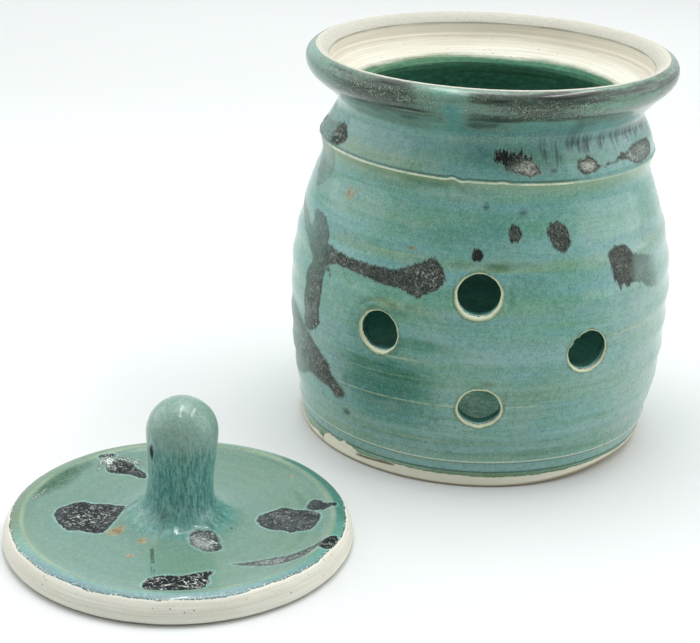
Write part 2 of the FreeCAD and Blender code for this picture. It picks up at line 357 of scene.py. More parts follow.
def build_jar():
    m = Mesh()
    th = -PI / 2 + 2 * PI * (np.arange(COLS) + 0.5) / COLS
    # ---- underside, from the centre out to the foot's edge
    under = [(3.0, 0.42), (8, 0.42), (16, 0.40), (26, 0.40), (36, 0.38), (45, 0.36),
             (51.0, 0.33), (53.2, 0.27), (54.2, 0.08), (55.0, 0.0), (56.2, 0.0)]
    foot = run([(57.2, 0.0), (57.62, 0.13), (57.88, 0.42), (58.0, 0.8)], 0.3)
    band = run([(58.0, 0.8), (58.03, 2.0), (58.07, 3.2), (58.1, 4.5), (58.25, 6.5),
                (58.45, 8.1), (59.15, 9.2)], 0.34)[1:]
    belly_low = run([p for p in BELLY if p[1] <= 15.0], 0.45)[1:]
    belly = run([p for p in BELLY if p[1] >= 15.0], 1.32)
    cut = belly[:, 1] < 97.4
    belly = belly[cut][1:]
    zt = np.arange(97.9, 101.5, 0.24)
    full = np.r_[run(BELLY, 0.2), run(NECK, 0.2)[1:]]
    zlow = full[:, 1] < 110
    ridge = np.c_[np.interp(zt, full[zlow, 1], full[zlow, 0]), zt]
    nk = run(NECK, 1.0)
    nk = nk[(nk[:, 1] > 102.0)]
    bevel = run([(56.0, 128.4), (54.2, 127.35), (52.3, 125.4)], 0.75)[1:]
    bevel = np.r_[bevel[:-1], [[52.50, 125.62], [52.37, 125.47], [52.31, 125.33], [52.30, 125.15]]]
    seat = np.array([(52.3, 124.6), (52.3, 123.9), (52.3, 123.2), (52.3, 122.5),
                     (52.3, 121.98), (52.27, 121.74), (52.17, 121.56)])
    ledge = run([(52.17, 121.56)] + LEDGE[1:], 0.80)[1:]
    parts = [("under", np.array(under)), ("outer", foot), ("outer", band),
             ("outer", belly_low), ("outer", belly), ("outer", ridge), ("outer", nk),
             ("rim", bevel), ("rim", seat), ("rim", ledge)]
    prof = np.concatenate([p for _, p in parts])
    kind = sum(([k] * len(p) for k, p in parts), [])
    u = np.r_[0, np.cumsum(np.hypot(*np.diff(prof, axis=0).T))]
    rows = len(prof)
    T = np.broadcast_to(th, (rows, COLS))
    R = np.broadcast_to(prof[:, :1], (rows, COLS)).copy()
    Z = np.broadcast_to(prof[:, 1:], (rows, COLS)).copy()
    U = np.broadcast_to(u[:, None], (rows, COLS))
    outer = np.array([k == "outer" for k in kind])
    P = np.zeros((rows, COLS, 3))
    P[outer] = place(T[outer], R[outer], Z[outer], outer_shift)
    P[~outer] = np.stack([R * np.cos(T), R * np.sin(T), Z], -1)[~outer]
    # the underside ends where the foot is cut away
    un = np.array([k == "under" for k in kind])
    over = np.clip((R - 50.0) / 7.2, 0, 1)
    shr = (1 - over * 0.95 * foot_cut(T) / 7.2 * (7.2 / R))
    P[un, :, 0] *= shr[un]
    P[un, :, 1] *= shr[un]
    # gallery: uneven throwing lines and a corner that isn't perfectly crisp
    rim = np.array([k == "rim" for k in kind])
    x, y = 52 * np.cos(T), 52 * np.sin(T)
    led = rim & (prof[:, 1] < 124.9)
    dr = np.zeros_like(R)
    dr[rim] = 0.05 * wavy(x, y, Z * 4.0, 30, 9)[rim]
    dzl = np.zeros_like(R)
    dzl[led] = (0.10 * wavy(x, y, U * 3.0, 46, 10) + 0.05 * wavy(x, y, U, 9, 11))[led]
    P[..., 0] += dr * np.cos(T)
    P[..., 1] += dr * np.sin(T)
    P[..., 2] += dzl * (Z < 125.2)
    # keep the crest as high as the CAD's
    P[..., 2] = np.minimum(P[..., 2], 128.4)
    face = np.where(outer, 1.0, np.where(rim, 2.0, 0.0))
    g = m.add(P, th=T, z=Z, r=R, u=U, face=np.broadcast_to(face[:, None], R.shape))
    g = g.reshape(rows, COLS)
    # centre of the underside
    c = m.add([[0, 0, 0.42]], th=0, z=0.42, r=0, u=0, face=0)[0]
    for j in range(COLS):
        m.f.append((int(c), int(g[0, (j + 1) % COLS]), int(g[0, j])))

    # ---- inside wall and floor
    ti = -PI / 2 + 2 * PI * (np.arange(COLS_IN) + 0.5) / COLS_IN
    inside = run(INSIDE, 1.55)[1:]
    floor = np.array([(36.0, 7.60), (32, 7.62), (27, 7.66), (21, 7.72), (15, 7.8),
                      (10, 7.86), (5.0, 7.90), (2.0, 7.91)])
    prof_i = np.concatenate([inside, floor])
    kin = np.r_[np.full(len(inside), 3.0), np.full(len(floor), 4.0)]
    ri = len(prof_i)
    Ti = np.broadcast_to(ti, (ri, COLS_IN))
    Ri = np.broadcast_to(prof_i[:, :1], Ti.shape).copy()
    Zi = np.broadcast_to(prof_i[:, 1:], Ti.shape).copy()
    Pi = place(Ti, Ri, Zi, inner_shift)
    fl = np.broadcast_to((kin == 4.0)[:, None], Ti.shape)
    spir = 0.22 * np.cos(2 * PI * Ri / 7.0 - Ti) * sstep(3, 8, Ri)
    Pi[..., 2] += np.where(fl, spir, 0.0)
    ui = u[-1] + np.r_[0, np.cumsum(np.hypot(*np.diff(prof_i, axis=0).T))]
    gi = m.add(Pi, th=Ti, z=Zi, r=Ri, u=np.broadcast_to(ui[:, None], Ti.shape),
               face=np.broadcast_to(kin[:, None], Ti.shape)).reshape(ri, COLS_IN)
    ci = m.add([[0, 0, 7.91]], th=0, z=7.9, r=0, u=ui[-1], face=4)[0]
    for j in range(COLS_IN):
        m.f.append((int(gi[-1, j]), int(gi[-1, (j + 1) % COLS_IN]), int(ci)))
    # from 448 columns at the throat to 224 inside
    a = (th - th[0]) % (2 * PI)
    b = (ti - th[0]) % (2 * PI)
    m.zip(g[-1], a, gi[0], b)

    # ---- vents
    keep = np.ones((rows - 1, COLS), bool)
    keep_i = np.ones((ri - 1, COLS_IN), bool)
    M = 80
    phi = -PI + 2 * PI * np.arange(M) / M
    for index, (az, zv, bore, hw, hh) in enumerate(VENTS):
        t0, tb = math.radians(az), math.radians(bore)
        ax = np.array([math.cos(tb), math.sin(tb)])
        ex = np.array([-math.sin(tb), math.cos(tb)])
        r0_ = float(np.interp(zv, OUT_Z, OUT_R))
        skin = np.array([r0_ * math.cos(t0) + 0.32 * float(window(zv, 16, 78, 6)),
                         r0_ * math.sin(t0)])
        half = 10.6

        def project(a_, b_, surf, cx, depth):
            """The point of a skin that lies at (a, b) across the bore."""
            z_ = zv + b_
            c = skin + a_[:, None] * ex - np.array([cx, 0.0])
            ca = c @ ax
            t_ = np.full(len(a_), 0.0)
            th_ = np.full(len(a_), t0)
            for _ in range(5):
                r_ = surf(th_, z_)
                t_ = -ca + np.sqrt(np.maximum(ca**2 - (c**2).sum(1) + r_**2, 0.01))
                q_ = c + t_[:, None] * ax
                th_ = np.arctan2(q_[:, 1], q_[:, 0])
            q_ = c + (t_ - depth)[:, None] * ax + np.array([cx, 0.0])
            return np.c_[q_, z_], th_, z_

        def block(P_, T_, Z_, want):
            A = (P_[..., 0] - skin[0]) * ex[0] + (P_[..., 1] - skin[1]) * ex[1]
            B = P_[..., 2] - zv
            d = np.abs((T_ - t0 + PI) % (2 * PI) - PI)
            rr_ = [i for i in range(len(Z_)) if want[i] and abs(Z_[i, 0] - zv) < half]
            mid = rr_[len(rr_) // 2]
            cc_ = [j for j in range(P_.shape[1]) if d[0, j] < 0.45 and abs(A[mid, j]) < half]
            cc_ = sorted(cc_, key=lambda j: A[mid, j])
            return A, B, rr_[0], rr_[-1], cc_

        want_o = outer & (prof[:, 1] > 15.3) & (prof[:, 1] < 97)
        want_i = (kin == 3.0) & (prof_i[:, 1] < 97) & (prof_i[:, 1] > 12)

        def rect(A, B, r0, r1, cc):
            """How far the block reaches at each angle, a little inside it."""
            mid = (r0 + r1) // 2
            b0, b1 = sorted((B[r0, cc[0]], B[r1, cc[0]]))
            a0, a1 = A[mid, cc[0]], A[mid, cc[-1]]
            c_, s_ = np.cos(phi), np.sin(phi)
            with np.errstate(divide="ignore", invalid="ignore"):
                ta = np.where(c_ > 1e-9, a1 / c_, np.where(c_ < -1e-9, a0 / c_, 1e9))
                tb_ = np.where(s_ > 1e-9, b1 / s_, np.where(s_ < -1e-9, b0 / s_, 1e9))
            return np.minimum(np.abs(ta), np.abs(tb_))

        def loop(G, A, B, r0, r1, cc):
            lo_, hi_ = min(r0, r1), max(r0, r1)
            ids, aa, bb = [], [], []
            for i in range(lo_, hi_ + 1):
                for k, j in enumerate(cc):
                    if i in (lo_, hi_) or k in (0, len(cc) - 1):
                        ids.append(G[i, j])
                        aa.append(A[i, j])
                        bb.append(B[i, j])
            ang = np.arctan2(bb, aa)
            o = np.argsort(ang)
            return np.array(ids)[o], ang[o]

        # how the edge wanders
        edge = 0.07 * np.sin(2 * phi + index * 1.7) + 0.045 * np.sin(5 * phi + index) \
            + 0.03 * np.sin(11 * phi + 2.1 * index) + 0.02 * np.sin(19 * phi + index)
        low_ = -np.sin(phi)
        wide = 0.44 + 0.07 * np.sin(3 * phi + index) + 0.05 * np.sin(9 * phi + index)
        if index == 0:   # much thicker at the sides and below
            wide = wide + 0.04 + 0.58 * sstep(-1.0, 0.55, low_)
        if index == 1:   # lumps of clay pushed out at its left
            wide = wide + 0.45 * window(phi, -2.9, -1.0, 0.6) + 0.05
            wide = wide + 0.55 * np.exp(-((np.abs(phi) - PI + 0.12) / 0.36) ** 2) + 0.30 * np.exp(
                -((phi + 2.6) / 0.25) ** 2) + 0.22 * np.exp(-((phi - 2.35) / 0.12) ** 2)
        if index == 2:   # ragged at its upper left
            rag = window(phi, 1.75, 2.95, 0.12)
            edge = edge - rag * (0.42 + 0.26 * np.sin(12 * phi + 1) + 0.15 * np.sin(27 * phi))
            wide = wide + 0.14 * low_
        if index == 3:
            wide = wide + 0.16 + 0.14 * np.abs(np.cos(phi))

        def ellipse(off):
            u_ = np.c_[(hw + off) * np.cos(phi), (hh + off) * np.sin(phi)]
            return u_[:, 0], u_[:, 1]

        A, B, r0, r1, cc = block(P, T, Z, want_o)
        for i in range(r0, r1):
            for k in range(len(cc) - 1):
                keep[i, cc[k]] = False
        ids, ang = loop(g, A, B, r0, r1, cc)
        reach = rect(A, B, r0, r1, cc)
        ring_ids = []
        # from the block in to the lip
        ea, eb = ellipse(edge + wide + 0.75)
        q1 = np.hypot(ea, eb)
        angle1 = np.arctan2(eb, ea)
        for t in (0.16, 0.36, 0.56, 0.76, 0.90, 1.0):
            q = reach * (1 - t) + q1 * t
            an = phi * (1 - t) + angle1 * t
            p_, tt, zz = project(q * np.cos(an), q * np.sin(an), on_outer, 0.32 * float(window(zv, 16, 78, 6)), 0.0)
            off = np.hypot(q * np.cos(an) / (hw / 6.4), q * np.sin(an) / (hh / 6.4)) - 6.4 - edge
            ring_ids.append(m.add(p_, th=tt, z=zz, r=60, u=60, face=1, lip=off - wide, vent=float(index)))
        # rounded lip, a little proud of the skin, then the bore
        prof_l = ((1.0, 0.42, -0.05), (1.0, 0.10, -0.13), (0.72, 0.0, -0.17), (0.42, 0.0, -0.12),
                  (0.18, 0.0, 0.02), (0.05, 0.0, 0.22), (0.0, 0.0, 0.50), (0.0, -0.02, 0.95),
                  (0.0, -0.03, 1.6))
        for kw, ko, dep in prof_l:
            off = edge + wide * kw + ko
            a_, b_ = ellipse(off)
            p_, tt, zz = project(a_, b_, on_outer, 0.32 * float(window(zv, 16, 78, 6)), np.full(M, dep))
            rel = off - edge - wide
            lip = np.where(rel > 0, rel, 0.6 * rel / wide) if dep < 0.1 else -0.6 - dep + 0.0 * rel
            ring_ids.append(m.add(p_, th=tt, z=zz, r=60, u=60, face=1 if dep < 0.3 else 5,
                                  lip=lip, vent=float(index)))
        m.zip(ids, ang, ring_ids[0], phi)
        for k in range(len(ring_ids) - 1):
            m.quads(np.stack([ring_ids[k], ring_ids[k + 1]]))
        last = len(ring_ids) - 1
        # bore and inner edge
        Ai, Bi, i0, i1, ci_ = block(Pi, Ti, Zi, want_i)
        lo_, hi_ = min(i0, i1), max(i0, i1)
        for i in range(lo_, hi_):
            for k in range(len(ci_) - 1):
                keep_i[i, ci_[k]] = False
        off = edge * 0.6 - 0.03
        a_, b_ = ellipse(off)
        pi_, tti, zzi = project(a_, b_, on_inner, 0.0, np.full(M, -0.45))
        po_, tto, zzo = project(a_, b_, on_outer, 0.32 * float(window(zv, 16, 78, 6)), np.full(M, 2.0))
        for w in (0.0, 0.5, 1.0):
            pp = po_ * (1 - w) + pi_ * w
            ring_ids.append(m.add(pp, th=tti, z=zzi, r=60, u=60, face=5, lip=-3.5 - w,
                                  vent=float(index)))
        for ro, dep in ((0.10, -0.16), (0.30, 0.0), (0.7, 0.0), (1.3, 0.0), (2.2, 0.0)):
            a_, b_ = ellipse(off + ro)
            p_, tt, zz = project(a_, b_, on_inner, 0.0, np.full(M, dep))
            ring_ids.append(m.add(p_, th=tt, z=zz, r=57, u=300, face=3, lip=-6.0, vent=float(index)))
        for k in range(last, len(ring_ids) - 1):
            m.quads(np.stack([ring_ids[k], ring_ids[k + 1]]))
        idi, angi = loop(gi, Ai, Bi, i0, i1, ci_)
        m.zip(ring_ids[-1], phi, idi, angi)
    m.quads(g, True, keep)
    m.quads(gi, True, keep_i)
    return m


# =====================================================================
# where the glaze does what, on the jar: s is the arc length from the front
# at 60 mm radius, z the height
# =====================================================================
# outline, tone (0 black .. 1 pale), crystals, vertical feathering, softness
JAR_SPLASH = [
    ([(-58.2, 103.2), (-59.5, 105), (-61.5, 106), (-63, 107.4), (-64.5, 106.6),
      (-66, 107.6), (-67.5, 106.6), (-69.5, 107), (-72, 106.2), (-76, 105.6),
      (-84, 104.8), (-94, 104), (-96, 100), (-92, 98.4), (-84, 99.4), (-74, 99.8),
      (-68, 99.9), (-63.5, 100.3), (-60.5, 101), (-58.8, 101.9)], 0.22, 0.75, 0.15, 0.1),
    ([(-63.3, 99.3), (-64, 97), (-65, 94.5), (-65.3, 91.5), (-66.8, 88.8),
      (-68.5, 86.7), (-70.5, 86.2), (-72, 85.2), (-73.2, 84.2), (-75, 83.8),
      (-77, 85.2), (-80, 87.5), (-84, 91), (-87, 95), (-88, 99.2), (-76, 99.8)],
     0.62, 0.10, 0.1, 0.25),
    ([(-69, 77.5), (-68.5, 79), (-66.5, 79.4), (-64.5, 79), (-62.5, 79.3), (-61, 78.6),
      (-59.5, 78.3), (-58, 77.2), (-57, 75.8), (-56.2, 74), (-55.4, 72), (-55, 70.8),
      (-53.8, 71.5), (-52.5, 71.2), (-51, 70.5), (-48, 70.6), (-44, 70.2), (-40, 70.2),
      (-36, 70.3), (-32, 70.3), (-28, 70.5), (-25, 71), (-23, 72), (-20.5, 73.1),
      (-18, 74.3), (-16, 75), (-14.8, 75.7), (-14.1, 76.8), (-13.4, 75.4), (-11.6, 74.1),
      (-10.3, 72.5), (-9.7, 71), (-10, 69.4), (-10.8, 68), (-12, 66.9), (-13.5, 65.9),
      (-15, 65), (-16.5, 64.1), (-17.5, 63.2), (-18.6, 63.6), (-20, 63.9), (-22, 64.5),
      (-24, 65.1), (-27, 65.3), (-30, 65.3), (-33, 65.6), (-36, 65.9), (-40, 66.3),
      (-44, 66.5), (-47, 66.7), (-50, 66.3), (-52, 65.4), (-53.6, 64.8), (-54.4, 63.6),
      (-54.0, 62.3), (-53.7, 61), (-54, 59), (-54.6, 56), (-54.8, 53), (-54.8, 50),
      (-54.7, 47), (-54.9, 45), (-56, 43), (-57.5, 41.5), (-59, 40.5), (-61, 40),
      (-63, 40.1), (-64.6, 41.2), (-65, 43.5), (-64.9, 48), (-65, 53), (-65, 58),
      (-64.2, 61), (-62.6, 62.5), (-62.4, 63.6), (-64, 65.3), (-66.5, 67.2),
      (-70, 69.4), (-75, 71), (-82, 73), (-90, 74.5), (-90, 77.5), (-83, 77.2),
      (-77, 76.6), (-73, 75.2), (-70.8, 73.2), (-68.8, 73.4), (-67.6, 75.2)],
     0.47, 0.18, 0.36, 0.12),
    ([(-54.6, 65.4), (-52.5, 64.4), (-51, 63), (-49.8, 61.2), (-50.9, 61.5),
      (-52.5, 62.9), (-54.4, 64)], 0.35, 0.1, 0.1, 0.1),
    ([(-60, 38.6), (-57.5, 37), (-55, 35), (-53, 33.9), (-51, 33.4), (-49.5, 32.2),
      (-48.8, 30.5), (-47.5, 29), (-46, 27.8), (-44.5, 26.5), (-43.2, 25.1),
      (-42.7, 23.8), (-43.5, 22.7), (-45, 22), (-46.5, 21.5), (-47.9, 21.8),
      (-49, 23), (-50.5, 23.8), (-53, 24), (-56, 24), (-58, 24.2), (-60.5, 24.6),
      (-62.5, 24.6), (-65, 23.3), (-69, 21), (-74, 19.6), (-80, 20.5), (-86, 24),
      (-91, 30), (-93, 38), (-89, 44), (-82, 45.5), (-75, 44.5), (-70, 43),
      (-66, 41.2), (-63, 39.9)], 0.48, 0.45, 0.1, 0.3),
    ([(-44, 18), (-43.3, 18.9), (-42, 19.1), (-40.8, 18.6), (-40.4, 17.8),
      (-41.5, 17.1), (-43.2, 17.1)], 0.25, 0.0, 0.0, 0.35),
    ([(3.4, 107.4), (4.1, 109), (4.9, 108), (5.8, 109.6), (6.4, 107.8), (7.4, 108.8),
      (8.2, 107.1), (9.2, 108), (10.3, 108.9), (10.9, 106.8), (12.2, 107.4),
      (13.2, 109.4), (13.9, 106.9), (15, 106.2), (16.1, 107.2), (17, 105.4),
      (18.5, 104.8), (19.6, 103.2), (20.9, 102.3), (19.5, 102), (18, 102),
      (17, 101.6), (15.5, 101), (14, 101.7), (12, 102), (10.5, 102.3), (9, 103),
      (7.5, 103.6), (6, 104.3), (4.8, 105), (3.7, 106)], 0.10, 0.9, 0.9, 0.1),
    ([(33.4, 103), (33.6, 104.8), (34.5, 105.7), (36, 105.1), (37.3, 105.4),
      (38.5, 106.6), (39.3, 105.5), (40.5, 105), (41.3, 104), (42.3, 103.4),
      (43.5, 102.9), (45, 102.7), (46.5, 103.2), (48, 103.2), (50, 103.4), (52, 104),
      (53.5, 104.5), (54.3, 105), (56, 104.6), (58, 104.7), (60, 105.2), (62, 105.8),
      (65, 106.2), (69, 106.2), (73, 106), (78, 105.5), (80, 103), (78, 101),
      (73, 100.4), (68, 100.2), (64, 100.3), (61, 101.2), (58.5, 102.2), (56, 102.9),
      (53.5, 103.1), (50, 102.7), (47, 102.6), (45, 102.3), (43, 102.4), (41.5, 102),
      (40.5, 101.5), (39, 101.3), (37, 101.2), (35, 101.4), (33.9, 102)],
     0.40, 0.55, 0.1, 0.1),
    ([(22.8, 102.9), (23.6, 103.3), (24.6, 103.2), (25.4, 102.8), (24.4, 102.5),
      (23.2, 102.5)], 0.15, 0, 0, 0.3),
    ([(0.4, 92.2), (1.2, 92.6), (2.2, 92.3), (2.4, 91.5), (1.6, 90.9), (0.8, 91.4)],
     0.1, 0, 0, 0.3),
    ([(12.8, 90.4), (13.6, 91.1), (14.4, 90.8), (14.8, 90), (13.8, 89.8),
      (13, 89.8)], 0.18, 0, 0, 0.5),
    ([(8.9, 85.4), (9.6, 86.6), (11, 87), (12.3, 86.5), (13.2, 85.6), (13.9, 84.5),
      (13.3, 83.2), (12.3, 82), (11, 81.8), (9.8, 82.3), (9.1, 83.5)],
     0.36, 0.05, 0.5, 0.1),
    ([(21.8, 85.5), (22.5, 87), (23.8, 87.6), (25.5, 87.5), (27, 87.1), (28.5, 86),
      (29.4, 84.6), (29.9, 83), (29.7, 81.2), (29.3, 79.4), (28.6, 80.4), (27.8, 78),
      (26.6, 77.6), (25.8, 79), (25, 78.6), (24.2, 80.2), (23.5, 79.8), (22.8, 81.5),
      (22.2, 83.5)], 0.50, 0.06, 0.40, 0.1),
    ([(-2.8, 78.2), (-2.2, 79.4), (-0.9, 80), (0.5, 79.5), (1.3, 78.4), (1.2, 77),
      (0.2, 76.2), (-1.2, 76), (-2.4, 76.8)], 0.10, 0.1, 0.35, 0.1),
    ([(42.7, 75.2), (43.6, 76.3), (45, 77.2), (47, 77.7), (49, 77.8), (51, 77.5),
      (52.5, 76.8), (53.5, 75.7), (54.2, 74.6), (56, 73.9), (58, 73.2), (60.5, 72.4),
      (63, 71.8), (66, 71), (70, 70), (76, 68.5), (84, 67.5), (88, 64.5), (84, 61.5),
      (76, 60.5), (70, 60.6), (65, 61), (61.5, 61.7), (60, 62.8), (58.5, 64),
      (56, 65.1), (53, 65.2), (51.5, 64.5), (50.5, 64.4), (49.5, 65.7), (48.5, 65),
      (47.5, 64.9), (46.5, 66), (45.3, 67.5), (44.6, 69), (44.2, 71), (43.6, 73)],
     0.45, 0.10, 0.36, 0.15),
    ([(-42.6, 30.3), (-41.8, 30.9), (-41.2, 30.4), (-41.9, 29.9)], 0.05, 0, 0, 0.6),
    ([(-20.9, 60.3), (-20.5, 60.7), (-20.1, 60.2), (-20.5, 59.8)], 0.1, 0, 0, 0.5),
    ([(-10.8, 23.9), (-10.3, 24.3), (-9.9, 23.8), (-10.4, 23.4)], 0.1, 0, 0, 0.4),
    ([(-15.1, 26), (-14.6, 26.3), (-14.3, 25.8), (-14.8, 25.5)], 0.08, 0, 0, 0.4),
    # the side that the view doesn't reach, in the same hand
    ([(118, 88), (121, 90), (126, 90.5), (131, 88.5), (136, 85), (142, 82), (149, 80.5),
      (151, 78.5), (148, 76.6), (141, 77.5), (135, 79.6), (130, 81), (124, 83),
      (119, 85)], 0.34, 0.4, 0.4, 0.12),
    ([(133, 62), (136, 66), (140, 67), (144, 64), (145, 58), (144, 50), (145, 44),
      (142, 41), (138, 42), (136, 47), (135, 54)], 0.38, 0.4, 0.3, 0.12),
    ([(165, 57), (168, 60), (173, 61), (178, 59), (183, 55), (186, 51), (183, 48.5),
      (177, 49), (171, 50.5), (166, 53)], 0.30, 0.5, 0.6, 0.1),
    ([(-176, 84), (-173, 87), (-167, 88), (-161, 86), (-158, 82), (-160, 79),
      (-166, 77.5), (-172, 79)], 0.34, 0.3, 0.5, 0.1),
    ([(-150, 66), (-146, 69), (-138, 70), (-130, 68), (-124, 64), (-120, 58),
      (-122, 55), (-127, 57), (-133, 61), (-140, 62), (-147, 62.5)], 0.36, 0.4, 0.4, 0.12),
    ([(-141, 36), (-137, 39), (-131, 38), (-128, 33), (-130, 28), (-135, 27),
      (-140, 30)], 0.36, 0.3, 0.5, 0.12),
    ([(100, 34), (104, 37), (110, 36), (116, 31), (121, 25), (119, 22), (113, 24),
      (106, 28), (101, 30.5)], 0.38, 0.4, 0.3, 0.12),
    ([(158, 104), (160, 107), (166, 107.5), (170, 105), (174, 103), (170, 101.3),
      (163, 101.2), (159, 102)], 0.25, 0.7, 0.6, 0.1),
    ([(-128, 104), (-125, 106.5), (-119, 107), (-114, 104.5), (-112, 102),
      (-118, 101), (-125, 101.5)], 0.22, 0.6, 0.6, 0.1),
]

# lines left by the fingers: height at s = 0 on the throwing spiral
LINE_SLOPE = 0.0265
LINES = [  # height, half width, strength
    (29.6, 0.33, 1.0), (37.5, 0.34, 0.55), (43.6, 0.40, 0.75), (49.3, 0.30, 0.8),
    (16.6, 0.45, 0.5), (21.9, 0.30, 0.5), (76.2, 0.5, 0.4), (95.0, 0.35, 0.30),
]


def jar_attributes(m):
    p = m.points()
    th, z, r = m.value("th", 0), m.value("z", 0), m.value("r", 60)
    u, face = m.value("u", 0), m.value("face", 0)
    lip = m.value("lip", 30)
    s = azs(th)
    x, y = p[:, 0], p[:, 1]
    N = len(z)
    outer = (face == 1) | (face == 5)

    # --- bare clay: positive in the glaze, negative on the clay, in mm
    wob = 0.22 * wavy(x, y, 0 * z, 12, 20) + 0.13 * wavy(x, y, 0 * z, 4.2, 21)
    foot_k = [-176, -150, -120, -95, -78, -70, -62, -59.2, -57.6, -56.6, -53.6, -50, -45.6,
              -43.6, -41.6, -39, -36, -30, -24, -15, -5, 11, 29, 50, 72, 95, 130, 160]
    foot_v = [3.1, 3.3, 3.0, 2.6, 2.2, 2.0, 2.7, 2.3, 3.0, 4.1, 4.5, 4.6, 4.9,
              4.8, 4.3, 3.9, 3.75, 3.85, 4.1, 3.9, 3.9, 3.7, 3.9, 4.4, 4.6, 4.4, 3.8, 3.2]
    order = np.argsort(foot_k)
    kk = np.array(foot_k)[order]
    vv = np.array(foot_v)[order]
    kk = np.r_[kk - 120 * PI, kk, kk + 120 * PI]
    vv = np.r_[vv, vv, vv]
    edge_foot = np.interp(s, kk, vv)
    rough_edge = window(s, -62, -38, 3) * (0.42 * wavy(x, y, z * 0.8, 2.6, 23) + 0.30 * wavy(x, y, z, 1.4, 24))
    d_foot = (z - edge_foot) - 0.4 * wob + rough_edge
    # rim: the bare bevel starts just inside the crest
    d_rim = np.full(N, 50.0)
    up = face == 1
    d_rim[up & (z > 120)] = np.hypot(r - 56.0, z - 128.4)[up & (z > 120)]
    over = 0.68 + 1.75 * window(s, 112, 400, 22) + 1.75 * window(s, -400, -128, 20) \
        - 0.25 * window(s, -100, -60, 12)
    d_rim = d_rim - over
    rim = face == 2
    d_rim[rim] = -np.hypot(r - 56.0, z - 128.4)[rim] - 0.5
    low = rim & (z < 121.7)
    gl = 115.55 + 0.35 * wavy(x, y, 0 * z, 40, 22) + 0.4 * wob
    d_rim[low] = np.maximum(d_rim[low], ((gl - z) * 1.35)[low])
    bare = np.where(face == 1, np.minimum(d_foot, d_rim - 0.15 + 0.3 * wob), 0.0)
    bare = np.where(rim, d_rim, bare)
    bare = np.where(face == 0, -6.0, bare)
    bare = np.where(face >= 3, 6.0, bare)
    bare = np.clip(bare, -6, 6)

    # --- splashes
    best = np.full(N, 7.0)
    tone, cry, fea, soft = (np.full(N, v) for v in (0.35, 0.2, 0.2, 0.15))
    for poly, a, c, f, so in JAR_SPLASH:
        d = signed(poly, s, z)
        hit = d < best
        best = np.where(hit, d, best)
        # values carry a little past the outline
        tone, cry = np.where(hit, a, tone), np.where(hit, c, cry)
        fea, soft = np.where(hit, f, fea), np.where(hit, so, soft)
    best = np.where(face == 1, best, 7.0)
    # thin and half clear towards the sides
    j1 = window(z, 99.8, 108.5, 1)
    opac = 1.0 - (0.30 * window(s, -92, -56, 9) + 0.22 * window(s, -100, -66, 5)) * (1 - 0.8 * j1)
    opac = opac + 0.10 * window(s, -78, -52, 4) * window(z, 18, 60, 4)
    side = window(s, -90, -50.5, 3) * window(z, 18, 63, 3)
    opac = opac - 0.20 * window(s, -72, -60, 3) * window(z, 84, 99, 3) \
        - 0.50 * window(s, -90, -69.5, 2.5) * j1
    opac = opac - 0.38 * window(s, 54.5, 100, 1.8) * window(z, 57, 80, 2) \
        - 0.62 * window(s, 66, 100, 5.0) * window(z, 57, 80, 2) - 0.12 * window(s, 56, 90, 3) * (z > 99)
    # inside the large ones the tone changes from place to place
    tone = tone + 0.06 * side + 1.30 * blob(s, z, 15.8, 103.2, 7.2, 2.6, 1.5) * (s > 0) \
        + 0.62 * blob(s, z, 37.5, 103.2, 4.2, 2.0, 1.5) + 0.44 * blob(s, z, 66, 103, 12, 3.4) \
        + 0.06 * blob(s, z, -60, 51, 7, 9)
    cry = cry - 0.80 * blob(s, z, 14.5, 103.2, 6.0, 2.3) - 0.85 * blob(s, z, 7, 106.6, 6.5, 3.0) \
        - 0.30 * blob(s, z, 37.5, 103.2, 5, 2.2) - 0.55 * blob(s, z, 64, 103, 12, 3) \
        + 0.4 * blob(s, z, -44, 68.3, 9, 2.2) + 0.45 * blob(s, z, -15.5, 69.5, 5.5, 4.5) \
        - 0.3 * blob(s, z, -29, 68, 4.5, 3) + 0.45 * blob(s, z, -58.5, 43.5, 4, 4) \
        - 0.3 * blob(s, z, -60, 56, 6, 8) + 0.3 * blob(s, z, -50, 29, 6, 6) \
        + 0.2 * blob(s, z, -65, 102.5, 5, 2) - 0.5 * blob(s, z, -84, 30, 12, 12)
    tone = tone - 0.12 * blob(s, z, -64, 102, 4, 2.5) - 0.20 * blob(s, z, -73, 85, 3.5, 1.4) \
        - 0.15 * blob(s, z, -57, 43, 3, 2.5) - 0.15 * blob(s, z, 50, 65.5, 4, 2) \
        - 0.12 * blob(s, z, 6, 107, 4, 2.4) \
        + 0.10 * blob(s, z, 66, 66, 9, 6) - 0.10 * blob(s, z, -16, 67, 5, 4)
    fea = fea - 0.8 * blob(s, z, 15, 102, 7, 1.6) + 0.5 * blob(s, z, 49, 65.5, 5, 3) \
        - 0.3 * blob(s, z, 46, 75, 6, 4)

    # --- rust spots
    rust = np.zeros(N)
    for cs, cz, rs, rz, a in ((-51.6, 88.2, 1.5, 1.9, 1.0), (-49.6, 87.6, 1.1, 1.1, 0.8),
                              (-48.2, 89.6, 1.0, 1.0, 0.9), (-53.6, 90.8, 0.7, 0.6, 0.6),
                              (-21.6, 77.8, 1.1, 0.8, 1.0), (-20.9, 78.4, 0.6, 0.5, 1.0),
                              (-17.8, 77.1, 1.0, 0.6, 0.9), (-46.5, 83.5, 0.5, 0.4, 0.5),
                              (108, 66, 1.4, 1.0, 0.8), (-101, 92, 1.6, 1.2, 0.9),
                              (152, 95, 1.0, 0.8, 0.8)):
        rust = np.maximum(rust, a * blob(s, z, cs, cz, rs, rz, 1.4))

